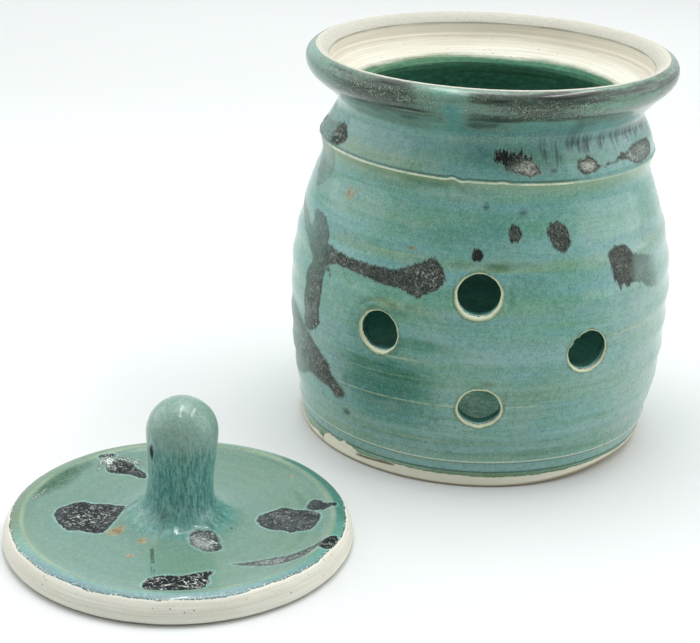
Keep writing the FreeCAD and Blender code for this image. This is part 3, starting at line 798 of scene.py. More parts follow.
    # --- dark, pooled glaze
    pool = 1.10 * blob(s, z, -28, 34.5, 16, 9.5, 1.5) + 0.50 * blob(s, z, -25, 23, 17, 4) \
        + 0.55 * blob(s, z, -15, 48.8, 9, 1.7) + 0.60 * blob(s, z, -19, 97.6, 11, 1.4) \
        + 0.80 * blob(s, z, 6, 75.4, 8, 0.7) + 0.30 * blob(s, z, 16, 69, 8, 4) \
        + 0.45 * blob(s, z, -38, 51, 2.6, 6) + 0.25 * blob(s, z, 18, 33, 12, 3) \
        + 0.30 * blob(s, z, 20, 11.5, 40, 1.4) + 0.30 * blob(s, z, -20, 15, 22, 2.0) \
        + 0.55 * blob(s, z, 150, 35, 22, 9) + 0.5 * blob(s, z, -120, 46, 16, 5) \
        + 0.35 * blob(s, z, -6, 82, 22, 3.5) + 0.35 * blob(s, z, 14, 105, 12, 4)
    # --- olive, where the glaze is thin
    olive = 0.55 * window(z, 73.2, 76.4, 0.9) * window(s, -52, 44, 8) \
        + 0.60 * window(z, 95.2, 98.9, 1.0) * (0.55 + 0.45 * window(s, -70, -20, 10)
                                               + 0.35 * window(s, 20, 90, 10)) \
        + 0.62 * window(z, 100.6, 104.6, 0.35) * window(s, -60, -20, 9) \
        + 0.40 * window(z, 84, 88.5, 1.5) * window(s, -52, -14, 6) \
        + 0.85 * blob(s, z, -27.5, 59.8, 5.5, 2.2, 1.5) + 0.40 * blob(s, z, -20, 60.5, 6.5, 3.2, 1.5) + 0.45 * blob(s, z, -16, 58, 8, 4) \
        + 0.60 * blob(s, z, 6, 37.6, 2.6, 1.2) + 0.45 * blob(s, z, 16, 32.5, 9, 2.5) \
        + 0.35 * blob(s, z, 14, 26.5, 10, 1.8) + 0.40 * blob(s, z, 30, 35, 30, 2.5) \
        + 0.35 * window(z, 49.5, 51.8, 0.8) * window(s, 40, 70, 6) \
        + 0.45 * blob(s, z, -22, 43.3, 7, 0.9) + 0.40 * blob(s, z, -10, 16, 40, 1.0) \
        + 0.50 * blob(s, z, 10, 10.8, 60, 1.0) + 0.40 * blob(s, z, -45, 11.5, 20, 2) \
        + 0.35 * blob(s, z, 10, 62, 22, 3.0) + 0.30 * blob(s, z, 14, 52, 16, 1.6) \
        + 0.40 * window(z, 27, 30, 1) * window(s, 90, 170, 12) \
        + 0.45 * window(z, 73, 77, 1.2) * (1 - window(s, -70, 60, 12)) \
        + 0.25 * blob(s, z, 55, 86, 16, 5)
    olive = olive + 0.95 * window(z, 2.2, 5.1, 0.35)
    # --- cooler and paler
    blue = 0.75 * window(z, 44.2, 49.2, 0.9) * window(s, -4, 40, 8) \
        + 0.55 * window(z, 101.5, 110.5, 1.5) * window(s, 16, 90, 8) \
        + 0.45 * window(z, 103, 112, 2) * window(s, -80, -8, 10) \
        + 0.62 * window(z, 5.7, 8.7, 0.4) * (0.75 + 0.25 * window(s, -30, 60, 12)) \
        + 0.45 * blob(s, z, 22, 79.5, 10, 3.0) + 0.35 * blob(s, z, 36, 86, 12, 5) \
        + 0.40 * window(z, 12.4, 14.4, 0.5) * window(s, -60, 60, 15) \
        + 0.45 * window(z, 17.8, 20.0, 0.6) * window(s, -6, 50, 12) \
        + 0.35 * blob(s, z, -6, 23.5, 10, 3.5) + 0.30 * blob(s, z, 45, 38, 14, 4) \
        + 0.30 * blob(s, z, 50, 57, 15, 5) + 0.30 * blob(s, z, -44, 60, 10, 6) \
        + 0.35 * window(z, 40, 46, 2) * (1 - window(s, -80, 80, 15)) \
        + 0.25 * blob(s, z, 60, 22, 18, 7) + 0.34 * window(s, 34, 92, 12) * window(z, 16, 92, 8)
    deep = 0.60 * blob(s, z, -12, 124.2, 8, 4.0) + 0.95 * blob(s, z, -1.5, 106.2, 6.0, 2.7, 1.2) + 0.35 * blob(s, z, -8, 113.5, 8, 3) \
        + 0.30 * blob(s, z, 26, 113.5, 12, 3) + 0.35 * blob(s, z, 4, 86, 14, 5) \
        + 0.35 * blob(s, z, -2, 96, 10, 2)

    # --- the dark, mottled rim and its runs
    zr = z
    roll = sstep(115.8, 118.2, zr) * (1 - sstep(127.6, 128.35, np.where(r > 57, zr, 129)))
    left = 0.66 + 0.30 * window(s, -72, -18, 8)
    gap = window(s, -14.0, -7.6, 1.6) * (1 - sstep(122.8, 125.0, zr)) * np.where(np.abs(s) < 40, 1, 0)
    right = 0.24 * window(s, -6, 150, 2.5)
    back = 0.08 * np.sin(s * 0.11)
    low_z = 116.4 + 0.5 * np.sin(s * 0.5) - 1.0 * window(s, -8, 4, 2) + 2.0 * window(s, 5, 30, 4)
    zone = (left + right + back) * (1 - 0.85 * gap)
    rimdark = zone * sstep(-1.2, 1.4, zr - low_z) * (1 - 0.14 * window(zr, 121.5, 125.0, 1.2))
    rimdark = np.where(zr > 127.9, rimdark * 0.8, rimdark)
    rimdark = rimdark - 0.10 * window(s, -130, -78, 6) * sstep(120, 122, zr)
    # patches where it came out darkest
    rimdark = rimdark + 0.45 * blob(s, zr, -38, 122.8, 16, 2.2) + 0.55 * blob(s, zr, 13, 125.6, 17, 1.8) \
        + 0.45 * blob(s, zr, -26, 127.4, 6, 0.8) + 0.50 * blob(s, zr, 47, 126.6, 20, 1.2) \
        + 0.50 * blob(s, zr, -28, 119.4, 11, 1.0) + 0.40 * blob(s, zr, 2, 119.3, 9, 1.5) \
        + 0.42 * blob(s, zr, -35, 124.2, 11, 2.6) + 0.34 * blob(s, zr, 15, 122.6, 13, 2.4) \
        + 0.35 * blob(s, zr, 78, 124, 16, 3) + 0.30 * blob(s, zr, 30, 120.0, 30, 1.0) \
        - 0.45 * blob(s, zr, -14, 126.4, 7, 1.6) - 0.35 * blob(s, zr, 40, 123.0, 12, 1.2)
    rimdark = rimdark + 0.45 * window(zr, 125.4, 127.7, 0.7) * window(s, -6, 38, 5)
    # olive-brown just under the roll
    rimdark = rimdark + 0.16 * window(s, -8, 44, 5) * window(zr, 111.5, 117.0, 1.5) + 0.62 * window(s, -60, -20, 6) * window(zr, 112.6, 117.2, 1.0) \
        + 0.45 * window(s, -8, 8, 3) * window(zr, 114.5, 117.5, 1.0)
    rgrain = 0.95 * blob(s, zr, -36, 124.4, 16, 2.8, 1.4) + 0.90 * blob(s, zr, 20, 122.0, 26, 2.6, 1.4) \
        + 0.5 * blob(s, zr, -18, 121.0, 8, 2.0) + 0.30
    rgrain = rgrain * (1 - 0.8 * window(s, -100, -56, 5) * window(zr, 118, 128.5, 1))
    rblack = 0.95 * blob(s, zr, 23, 127.1, 12, 0.9, 1.5) + 0.90 * blob(s, zr, -31, 127.7, 8, 0.55, 1.5) \
        + 0.50 * blob(s, zr, -27, 120.4, 9, 1.1, 1.5) + 0.42 * blob(s, zr, 4, 119.2, 9, 1.6, 1.5) \
        + 0.50 * blob(s, zr, 3, 125.8, 6, 1.2, 1.5) + 0.55 * blob(s, zr, 48, 126.6, 10, 0.9, 1.5) \
        + 0.55 * blob(s, zr, -40, 126.2, 6, 0.5, 1.5) + 0.6 * blob(s, zr, 120, 125, 20, 1.5, 1.5) \
        + 0.6 * blob(s, zr, -130, 124, 18, 1.5, 1.5)
    deep = deep + 0.55 * blob(s, z, -11, 118.5, 5, 4.5) * (face == 1)
    rline = 0.9 * window(s, -32, -15, 3) * np.exp(-((zr - 119.55 - 0.03 * (s + 24)) / 0.20) ** 2)
    rgrain, rblack, rline = (np.where(face == 1, np.clip(v, 0, 1), 0) for v in (rgrain, rblack, rline))
    drip_low = 107.9 + 0.9 * np.sin(s * 0.8) + 0.7 * np.sin(s * 1.9 + 1) - 1.0 * window(s, 30, 41, 2)
    runs = window(s, 31.0, 110, 2.0) * (1 - 0.65 * np.exp(-((s - 42) / 1.4) ** 2)) \
        * (0.92 * sstep(-1.0, 1.8, zr - drip_low) * (1 - sstep(110.6, 113.0, zr))
           + 0.50 * sstep(110.6, 113.0, zr) * (1 - sstep(116.5, 119, zr)))
    runs = runs + 0.80 * blob(s, zr, 22, 107.0, 1.7, 2.2) + 0.80 * blob(s, zr, 26.6, 106.2, 2.0, 2.4) \
        + 0.36 * window(s, 12, 34, 4) * window(zr, 108.5, 118, 2.0)
    runs = np.where(face == 1, np.clip(runs, 0, 1.3), 0)
    ngr = window(s, -8, 62, 5) * window(zr, 107.0, 117.2, 3.0) * (0.45 + 0.55 * sstep(108, 114, zr)) * (1 - 0.5 * window(s, 34, 70, 8))
    ngr = np.where(face == 1, ngr + 0.5 * window(s, -70, -12, 6) * window(zr, 112.0, 117.2, 2.0), 0)
    rimdark = np.where(face == 1, np.clip(rimdark, 0, 1.45), 0)

    # --- throwing lines
    zh = z - LINE_SLOPE * s
    lw = np.zeros(N)
    for zk, a, b, so, st in ((29.6, -46, -3, 3, 1.0), (29.6, 9, 21, 1.5, 0.6),
                             (37.5, -43, -14, 4, 0.8), (43.6, -29, -16, 3, 1.0),
                             (49.3, 42.5, 66, 2, 1.0), (49.3, 12, 28, 5, 0.25),
                             (16.6, -52, -8, 5, 0.7), (21.9, -2.2, 1.4, 0.4, 1.0),
                             (76.2, -36, -14, 5, 0.7), (95.0, -26, 12, 4, 0.8),
                             (29.6, 96, 160, 8, 0.9), (49.3, -160, -110, 8, 0.8),
                             (37.5, -150, -100, 8, 0.6)):
        lw = np.maximum(lw, st * window(s, a, b, so) * np.exp(-((zh - zk) / 2.2) ** 4))
    fine = window(z, 10, 97, 1.5)

    # thin dark line in the gallery's inner corner: painted shade in the crease
    corner = np.where(rim, np.exp(-(np.hypot(r - 52.35, z - 125.35) / 0.19) ** 2), 0.0)
    corner = np.clip(corner * (0.85 + 0.35 * wavy(x, y, 0 * z, 16, 26)), 0, 1)
    # the gallery wall is painted lighter and warmer: partly the clay's own warm tint, partly painted light that lifts
    # the shade on it
    wall = np.where(rim, window(z, 121.3, 125.0, 0.3), 0.0)
    # painted shade: the ledge darker going up towards the foot of the gallery wall
    ledge_painted_shade = np.where(rim & (z < 122.0), sstep(115.4, 121.2, z), 0.0)
    bdark = (face == 5) * (np.abs(s + 29) < 14) * (np.abs(z - 50) < 9) * sstep(-30.6, -32.6, s)
    # a few specks of iron in the bare clay
    irons = np.zeros(N)
    for ia, iz in ((129.4, 119.2), (128.0, 118.6), (126.6, 118.0), (126.2, 119.0)):
        irons = np.maximum(irons, np.where(rim, np.exp(-(((np.degrees(th) - ia) * 0.86) / 0.9) ** 2 - ((z - iz) / 0.30) ** 2), 0.0))
    # mossy green where it ran thin beside the vents; the dark green band just under the ridge is painted shade where
    # the surface turns in below it
    rho, aro = np.hypot(s + 29.2, z - 50.25), np.degrees(np.arctan2(z - 50.25, s + 29.2))
    moss = 0.85 * np.exp(-((rho - 10.4) / 0.55) ** 2) * window(aro, 62, 138, 8) + 0.55 * np.exp(-((rho - 7.9) / 0.9) ** 2) * window(aro, 95, 178, 14) \
        + 0.5 * np.exp(-((rho - 7.8) / 0.8) ** 2) * window(aro, -60, -10, 12) \
        + 0.95 * blob(s, z, 5.9, 74.5, 4.0, 1.1, 1.3) + 0.45 * blob(s, z, -6, 74.6, 3.5, 0.9) \
        + 0.70 * blob(s, z, 4.6, 37.6, 2.2, 0.9) + 0.40 * blob(s, z, 9.6, 33, 1.4, 3.5) \
        + 0.30 * blob(s, z, -22.5, 57.6, 4.0, 1.3) \
        + 0.50 * window(z - ridge_dz(s), 96.9, 98.8, 0.7) * window(s, -62, -3, 8) \
        + 0.35 * blob(s, z, -30, 95, 12, 1.6) + 0.40 * blob(s, z, 10, 66, 1.6, 4) \
        + 0.55 * window(z, 2.4, 4.9, 0.5) * window(s, -12, 40, 8)
    moss = np.where(face == 1, moss, 0.0)
    below = np.zeros(N)
    for az, zv, bore, hw, hh in VENTS:
        near = (np.abs(z - zv) < 11) & (np.abs(s - azs(np.radians(az))) < 14)
        below = np.where(near, (zv - z) / hh, below)

    inner = (face >= 3).astype(float)
    inner = np.where(face == 5, 0.35, inner)
    inner = np.where(rim & (z < 116.5), 1.0, inner)
    return {
        "sp_d": best, "sp_tone": np.clip(tone, 0, 1), "sp_cry": np.clip(cry, 0, 1),
        "sp_fea": np.clip(fea, 0, 1), "sp_soft": soft, "sp_op": np.clip(opac, 0, 1), "rust": rust,
        "corner": corner, "wall": wall, "irons": irons, "bore": (face == 5).astype(float), "moss": np.clip(moss, 0, 1),
        "lowside": np.where(lip < -0.5, sstep(-0.2, 0.9, below), 0.0),
        "pool": np.clip(pool, 0, 1), "olive": np.clip(olive, 0, 1),
        "blue": np.clip(blue, 0, 1), "deep": np.clip(deep, 0, 1), "rimdark": rimdark, "runs": runs,
        "rgrain": rgrain, "ngr": np.clip(ngr, 0, 1), "rblack": rblack, "rline": rline, "ledge_painted_shade": ledge_painted_shade, "bdark": bdark,
        "sa": s, "bare": bare, "lip": np.clip(lip, -8, 12), "zh": zh, "lw": lw, "fine": fine,
        "inner": inner,
    }


# =====================================================================
# the lid
# =====================================================================
LX, LY = -83.4, -102.1
LCOLS, KCOLS = 480, 160


def build_lid():
    m = Mesh()
    th = -PI / 2 + 2 * PI * (np.arange(LCOLS) + 0.5) / LCOLS
    under = [(4, 1.4), (12, 1.4), (20, 1.38), (28, 1.36), (34, 1.32), (37.2, 1.2),
             (38.2, 0.75), (39.2, 0.18), (40.2, 0.0), (43, 0.0), (46, 0.0), (48.2, 0.0)]
    corner = run([(49.0, 0.0), (50.4, 0.42), (51.25, 1.25), (51.55, 2.3)], 0.35)
    side = run([(51.55, 2.3), (51.35, 3.4), (51.05, 4.4), (50.40, 5.7), (49.66, 6.75)], 0.5)[1:]
    top = run([(49.62, 6.75), (49.45, 7.02), (49.1, 7.25), (48.5, 7.5), (47.3, 7.80), (45.9, 7.9),
               (44.7, 7.50), (43.3, 6.95), (40.5, 6.55)], 0.42)[1:]
    dish = run([(40.5, 6.55), (36.0, 6.30), (30.0, 6.2), (25.0, 6.25), (20.0, 6.55)], 0.8)[1:]
    prof = np.concatenate([under, corner, side, top, dish])
    rows = len(prof)
    kind = np.r_[np.zeros(len(under)), np.ones(len(corner) + len(side)),
                 np.full(len(top) + len(dish), 2.0)]
    u = np.r_[0, np.cumsum(np.hypot(*np.diff(prof, axis=0).T))]
    T = np.broadcast_to(th, (rows, LCOLS))
    R = np.broadcast_to(prof[:, :1], T.shape).copy()
    Z = np.broadcast_to(prof[:, 1:], T.shape).copy()
    K = np.broadcast_to(kind[:, None], T.shape)
    X, Y = R * np.cos(T), R * np.sin(T)
    topf = K == 2
    # slight warp, uneven edge, soft rings in the dish
    edge = sstep(44, 49, R) * topf
    dz = edge * 0.07 * wavy(X, Y, 0 * Z, 30, 30)
    dz = dz + topf * (R < 44) * (0.05 * np.cos(2 * PI * R / 5.2 + 0.5 * np.sin(T)) * sstep(12, 24, R)
                                 + 0.06 * wavy(X, Y, 0 * Z, 26, 31))
    dr = (K == 1) * (0.05 * wavy(X, Y, Z * 3, 16, 32) + 0.03 * wavy(X, Y, Z, 6, 33))
    # ridge: uneven, lower at the front
    rid = np.exp(-((R - 45.7) / 1.1) ** 2) * topf
    dz = dz + rid * (0.12 * wavy(X, Y, 0 * Z, 14, 34) - 0.10 * sstep(20, 40, -Y))
    # pooled crescent inside the ridge at the left, and the raised end of it
    ang = np.degrees(np.arctan2(Y, X)) % 360
    cres = window(ang, 137.5, 175, 2.5) * np.exp(-((R - 43.4) / 1.2) ** 2) * topf
    dz = dz - 0.22 * cres
    lipx = np.exp(-(((X + 30.3) / 0.55) ** 2)) * window(Y, 26, 31.5, 1.2) * topf
    dz = dz + 0.42 * lipx
    scar = np.exp(-(((X + 43.9 - 0.25 * (Y - 6)) / 0.5) ** 2)) * window(Y, 3.6, 9.0, 0.8) * topf
    dz = dz - 0.25 * scar + 0.16 * np.exp(-(((X + 43.0 - 0.25 * (Y - 6)) / 0.5) ** 2)) * window(
        Y, 4, 10, 1.0) * topf
    P = np.stack([X + dr * np.cos(T), Y + dr * np.sin(T), Z + dz], -1)
    g = m.add(P, lx=X, ly=Y, z=Z, r=R, u=np.broadcast_to(u[:, None], T.shape), face=K)
    g = g.reshape(rows, LCOLS)
    c = m.add([[0, 0, 1.4]], lx=0, ly=0, z=1.4, r=0, u=0, face=0)[0]
    for j in range(LCOLS):
        m.f.append((int(c), int(g[0, (j + 1) % LCOLS]), int(g[0, j])))
    m.quads(g)
    # knob
    flare = run([(20.0, 6.55), (16.4, 7.30), (13.6, 8.50), (11.7, 10.1), (10.5, 12.2),
                 (9.85, 15.0), (9.5, 19.5), (9.62, 24.0), (10.05, 28.5), (10.42, 32.0),
                 (10.5, 34.2)], 0.75)[1:]
    a = np.linspace(0, 0.5 * PI, 24)[1:-1]
    ball = np.c_[10.5 * np.cos(a), 34.2 + 10.5 * np.sin(a)]
    kp = np.concatenate([flare, ball])
    tk = -PI / 2 + 2 * PI * (np.arange(KCOLS) + 0.5) / KCOLS
    kr = len(kp)
    T2 = np.broadcast_to(tk, (kr, KCOLS))
    R2 = np.broadcast_to(kp[:, :1], T2.shape).copy()
    Z2 = np.broadcast_to(kp[:, 1:], T2.shape).copy()
    lean = 1.0 * sstep(7, 30, Z2)
    w = sstep(7, 12, Z2)
    rr = R2 * (1 + w * (0.006 * np.cos(2 * T2 + 0.7) + 0.004 * np.cos(3 * T2)
                        + 0.004 * wavy(R2 * np.cos(T2), R2 * np.sin(T2), Z2, 14, 36)))
    P2 = np.stack([rr * np.cos(T2) + lean, rr * np.sin(T2), Z2], -1)
    face2 = np.full(T2.shape, 3.0)
    gk = m.add(P2, lx=rr * np.cos(T2), ly=rr * np.sin(T2), z=Z2, r=R2, u=0.0,
               face=face2).reshape(kr, KCOLS)
    m.quads(gk)
    tip = m.add([[1.0, 0, 44.7]], lx=0, ly=0, z=44.7, r=0, u=0, face=3)[0]
    for j in range(KCOLS):
        m.f.append((int(gk[-1, j]), int(gk[-1, (j + 1) % KCOLS]), int(tip)))
    m.zip(g[-1], (th - th[0]) % (2 * PI), gk[0], (tk - th[0]) % (2 * PI))
    # to its place
    for q in m.p:
        q[:, 0] += LX
        q[:, 1] += LY
    return m


LID_SPLASH = [
    ([(-36.5, -3), (-36.2, -1), (-35, 1), (-33, 3), (-31.5, 4.2), (-29.8, 4.9), (-28, 4.2),
      (-26, 3.7), (-24, 4), (-22, 4.2), (-20.5, 3.4), (-19, 2.9), (-17.5, 2.6),
      (-16.3, 1.6), (-16.7, 0), (-17, -2), (-17.5, -5), (-18.3, -8), (-19, -11),
      (-19.8, -13), (-21, -13.8), (-23, -13.8), (-25, -13), (-27, -12.4),
      (-28.5, -12.8), (-29.5, -13.6), (-31, -12.6), (-33, -10.5), (-35, -8),
      (-36.3, -5.5)], 0.17, 0.58, 0.05),
    ([(-17, -0.3), (-15.5, 2), (-13, 4.6), (-11.5, 5.4), (-13.5, 3.2), (-15.6, 0.9),
      (-17, -1.4)], 0.42, 0.2, 0.5),
    ([(-28.5, 30.5), (-27, 32), (-25.5, 32.8), (-23.5, 32.9), (-22, 32.2), (-20.5, 32),
      (-19.8, 30.5), (-19, 29), (-17.5, 27.8), (-16, 26.5), (-15, 25), (-14.3, 23.3),
      (-15, 22.2), (-17, 22.8), (-19, 23.6), (-21, 24.2), (-23, 24), (-25, 24.2),
      (-26.5, 24.4), (-27.6, 25.8), (-28.2, 28)], 0.03, 0.50, 0.1),
    ([(-31.8, 32.4), (-30, 33.9), (-28.4, 34.9), (-26.6, 35.3), (-26.8, 34.4),
      (-29, 33.2), (-31.2, 31.6)], 0.0, 0.0, 0.1),
    ([(22.8, 1.5), (23.3, 3.5), (24.5, 5.3), (26, 6.5), (27.5, 8), (29, 9.6), (30.5, 10.1),
      (32, 9.6), (33.5, 9), (35.5, 8.8), (37.5, 8.9), (39.5, 8.2), (41, 7), (41.6, 5.5),
      (41.3, 3.5), (41, 1.5), (40.3, -0.5), (39.5, -2), (38.2, -3.3), (36.5, -3.9),
      (35, -4.3), (34.2, -5.2), (33.2, -4.8), (32, -4), (30, -4), (28, -4.2),
      (26.5, -3.5), (25, -2.7), (24, -1.5), (23, 0)], 0.50, 0.36, 0.05),
    ([(36.5, 10.3), (36.8, 12.5), (37.3, 14.2), (38.2, 15.2), (38.8, 15.9), (39.2, 14.8),
      (40.2, 15.3), (41, 14.3), (41.8, 13.2), (42.6, 12.6), (43.8, 12.9), (44.5, 12),
      (44.2, 10.5), (43, 9.5), (41.5, 9.2), (39.5, 9), (38, 9.1)], 0.40, 0.0, 0.1),
    ([(44.1, 12.3), (45.4, 12.5), (45.7, 11), (45.2, 10.1), (44.2, 10.3)], 0.0, 0, 0.1),
    ([(42.8, -14.6), (43.0, -12.2), (44, -10.2), (45.6, -8.6), (47.2, -7.4), (48.2, -8.2),
      (48.3, -10.5), (47.6, -13.2), (46.2, -15.4), (44.4, -15.9)], 0.03, 0.35, 0.05),
    ([(43.2, -10.4), (41.2, -13.2), (38.4, -15.8), (35.5, -18.0), (32, -20.0), (28.5, -21.7),
      (25, -23.4), (22.5, -24.3), (21, -24.8), (19.0, -25.6), (20, -25.9), (21.5, -25.9),
      (24.5, -26.1), (28, -25.7), (31.5, -24.8), (34.5, -23.4), (37.2, -21.4), (39.6, -19.2),
      (41.6, -16.4), (43.0, -13.6), (43.8, -11.6)], 0.78, 0.0, 0.28),
    ([(-2.8, -40), (-2.3, -37.5), (-1, -35.8), (1, -34.5), (3, -33.8), (5, -34),
      (6.5, -33.8), (8, -33.2), (10, -32), (12, -31), (14, -30.2), (15.8, -29.7),
      (14.9, -31.5), (14.4, -33.5), (14.8, -35.5), (15.5, -37), (14.6, -38.2),
      (14.5, -40), (13.5, -41), (11.5, -42.2), (9, -43), (6.5, -43.7), (4, -44),
      (1.5, -44.2), (-0.8, -44), (-2.2, -42.8), (-2.7, -41.5)], 0.02, 0.88, 0.05),
    ([(5.4, -15.6), (5.6, -13.2), (7.1, -11.7), (9.5, -10.4), (11.7, -9.8), (13.1, -10.8),
      (14.1, -13.3), (15, -15.7), (15.8, -18.2), (13.9, -19.2), (11.7, -20.1),
      (9, -19), (7, -17.5)], 0.62, 0.7, 0.25),
    ([(-21.6, 15.6), (-21.2, 16), (-20.8, 15.5), (-21.2, 15.1)], 0.1, 0, 0.4),
    ([(16.0, -6.1), (16.4, -5.6), (16.9, -6.6), (16.5, -7.1)], 0.05, 0, 0.3),
]


def lid_attributes(m):
    p = m.points()
    x, y, z, r = m.value("lx", 0), m.value("ly", 0), m.value("z", 0), m.value("r", 0)
    face = m.value("face", 0)
    N = len(z)
    th = np.arctan2(y, x)
    top = face >= 2
    best = np.full(N, 7.0)
    tone, cry, soft = (np.full(N, v) for v in (0.2, 0.4, 0.1))
    for poly, a, c, so in LID_SPLASH:
        d = signed(poly, x, y)
        hit = d < best
        best = np.where(hit, d, best)
        tone, cry, soft = np.where(hit, a, tone), np.where(hit, c, cry), np.where(hit, so, soft)
    best = np.where(top & ((z < 12) | (face == 2)), best, 7.0)
    # spot on the knob's left
    spot = np.full(N, 7.0)
    k = (face == 3) & (z > 22)
    ak = np.degrees(th)
    spot[k] = (np.hypot((ak[k] + 139) / 360 * 2 * PI * 10 - 0.12 * (z[k] - 30), (z[k] - 30) * 0.36) - 0.95)
    brown = (face == 3) & (z < 14) & (z > 8)
    spot2 = np.full(N, 7.0)
    spot2[brown] = np.hypot(x[brown] + 2.6, (z[brown] - 11.6) * 0.8) * 1.0 - 0.5
    spot2 = np.where(y < 0, spot2, 7.0)
    isb = spot < best
    best, tone, cry = np.where(isb, spot, best), np.where(isb, 0.03, tone), np.where(isb, 0.0, cry)
    isb = spot2 < best
    best, tone, cry = np.where(isb, spot2, best), np.where(isb, 0.14, tone), np.where(isb, 0.1, cry)
    soft = np.where(isb, 0.8, soft)
    cry = cry * np.where(x < -12, 0.35 + 0.65 * sstep(-0.4, -2.6, best), 1.0)
    cry = cry + 0.1 * blob(x, y, -27, -4, 6, 5) \
        + 0.5 * blob(x, y, 39.5, 7.3, 2.2, 1.2)
    tone = tone + 0.22 * blob(x, y, -34.5, -4, 3.0, 7) + 0.22 * blob(x, y, -19, -4, 3.0, 7) + 0.35 * blob(x, y, 39.8, 7.8, 2.0, 0.8) + 0.46 * blob(x, y, -17.5, 24.6, 4.5, 3) \
        + 0.40 * blob(x, y, 9.0, -16.0, 4, 3) - 0.5 * blob(x, y, 14.8, -16.5, 1.6, 3.5)
    # white crystals at the upper left with painted highlights among them, and painted highlights along the raised end
    # of the crescent and along the scar
    bright = 0.95 * blob(x, y, -28.6, 31.6, 2.4, 2.2) + 0.8 * blob(x, y, -27.5, 28.5, 1.3, 2.5) \
        + 0.75 * blob(x, y, -23.5, 33.4, 4.6, 1.5) + 0.55 * blob(x, y, -19.5, 31.5, 3.0, 2.0) \
        + 0.60 * np.exp(-((x + 30.3) / 0.55) ** 2) * window(y, 24, 31.0, 1.0) \
        + 0.90 * np.exp(-((x + 43.6 - 0.22 * (y - 6)) / 0.45) ** 2) * window(y, 1.5, 9.5, 0.8)
    bright = np.where(top, bright, 0)

    rust = np.zeros(N)
    for cx, cy, a, b, s_ in ((-16.2, -12.2, 2.6, 2.4, 0.9), (-15.0, -10.2, 1.6, 1.0, 0.7),
                             (-17.6, -13.8, 1.3, 1.0, 0.9), (-7.6, -17.2, 1.6, 1.6, 0.85),
                             (-9.3, -25.0, 1.1, 0.8, 1.0), (-10.2, -26.2, 0.6, 0.5, 0.8),
                             (30, 30, 1.2, 1.0, 0.5)):
        rust = np.maximum(rust, s_ * blob(x, y, cx, cy, a, b, 1.3))
    rust = np.where(top, rust, 0)

    ang = np.degrees(th) % 360
    band = sstep(46.0, 46.8, r) * top
    ridge = np.exp(-((r - 45.5) / 0.75) ** 2) * top
    front = window(ang, 205, 330, 14)
    olive = 0.95 * ridge * (1 - 0.45 * front) + 0.55 * band * window(ang, 60, 200, 12) \
        + 0.22 * (r < 44) * (r > 17) * top
    olive = olive + 0.35 * blob(x, y, -40, -14, 5, 12)
    pool = band * (0.80 * window(ang, 5, 62, 8) + 0.25 * window(ang, 62, 205, 8)
                   + 0.35 * window(ang, 350, 372, 6) + 0.35 * window(ang, -10, 8, 6))
    cres = (0.50 * window(ang, 139, 152, 4) + 1.15 * np.exp(-((ang - 159) / 12.5) ** 4)) * np.exp(-(np.where(r > 43.7, (r - 43.7) / 1.25, (r - 43.7) / (2.0 + 1.6 * np.exp(-((ang - 158) / 8.0) ** 2))) ** 2) ** 1.2) * top
    frontb = top * (r > 44) * sstep(45.6, 49.0, r) * window(ang, 218, 334, 12) + 0.0 * r
    backb = band * window(ang, 95, 205, 14)
    drip = top * np.exp(-((x - (-3.3 + 0.225 * (-24 - y))) / 0.55) ** 2) * window(y, -35.5, -20.5, 0.6)
    pool = pool + 0.45 * blob(x, y, 9.5, -3, 7.5, 9) * (face >= 2) * (x > 0) * (r > 9)
    # the blob at (2.5, -18.5) in front of the knob is a painted reflection: a pale patch where a light is mirrored
    blue = band * front * 0.45 + 0.35 * window(ang, 220, 320, 15) * sstep(36, 44, r) * top \
        + 0.8 * blob(x, y, 2.5, -18.5, 3.6, 2.8) + 0.25 * blob(x, y, -32, -20, 10, 8)
    knob = sstep(7.4, 12.5, z) * (face == 3)
    foot = (face == 3) * (1 - sstep(9, 12, z)) * sstep(6.6, 8.5, z) + blob(x, y, 1, -3, 15, 12) * (face == 2) * 0.5
    # bare side: positive in the glaze
    wob = 0.28 * wavy(x, y, 0 * z, 13, 40) + 0.20 * wavy(x, y, 0 * z, 4.5, 41) + 0.10 * wavy(
        x, y, 0 * z, 1.9, 42)
    step = 0.5 * window(ang, 303, 322, 1.5) + 0.25 * window(ang, 322, 340, 3)
    drop = 0.9 * window(ang, 20, 165, 18)
    bare = 49.35 - r
    # on the side face the height stands for the distance
    bare = np.where(face == 1, -(6.95 - z) - 0.15, bare) + 0.55 * wob - step + drop
    bare = np.where(face == 3, 6.0, bare)
    bare = np.where(face == 0, -6.0, bare)
    bare = np.clip(bare, -6, 6)
    under = (face == 0).astype(float)
    return {
        "sp_d": best, "sp_tone": np.clip(tone, 0, 1), "sp_cry": np.clip(cry, 0, 1),
        "sp_soft": soft, "bright": bright, "rust": rust, "pool": np.clip(pool, 0, 1),
        "olive": np.clip(olive, 0, 1), "blue": np.clip(blue, 0, 1), "knob": knob,
        "kfoot": np.clip(foot, 0, 1), "bare": bare, "lidr": np.where(top, r, 0.0),
        "ringr": 45.55 + 0.35 * wavy(x, y, 0 * z, 40, 45),
        "ringw": np.clip(0.55 + 0.45 * wavy(x, y, 0 * z, 24, 46), 0.15, 1) * top,
        "outer": band, "cres": np.clip(cres, 0, 1), "frontb": frontb, "drip": drip, "backb": backb,
        "kax": np.cos(th) * 14.0, "kay": np.sin(th) * 14.0, "kar": r * 0.10,
    }


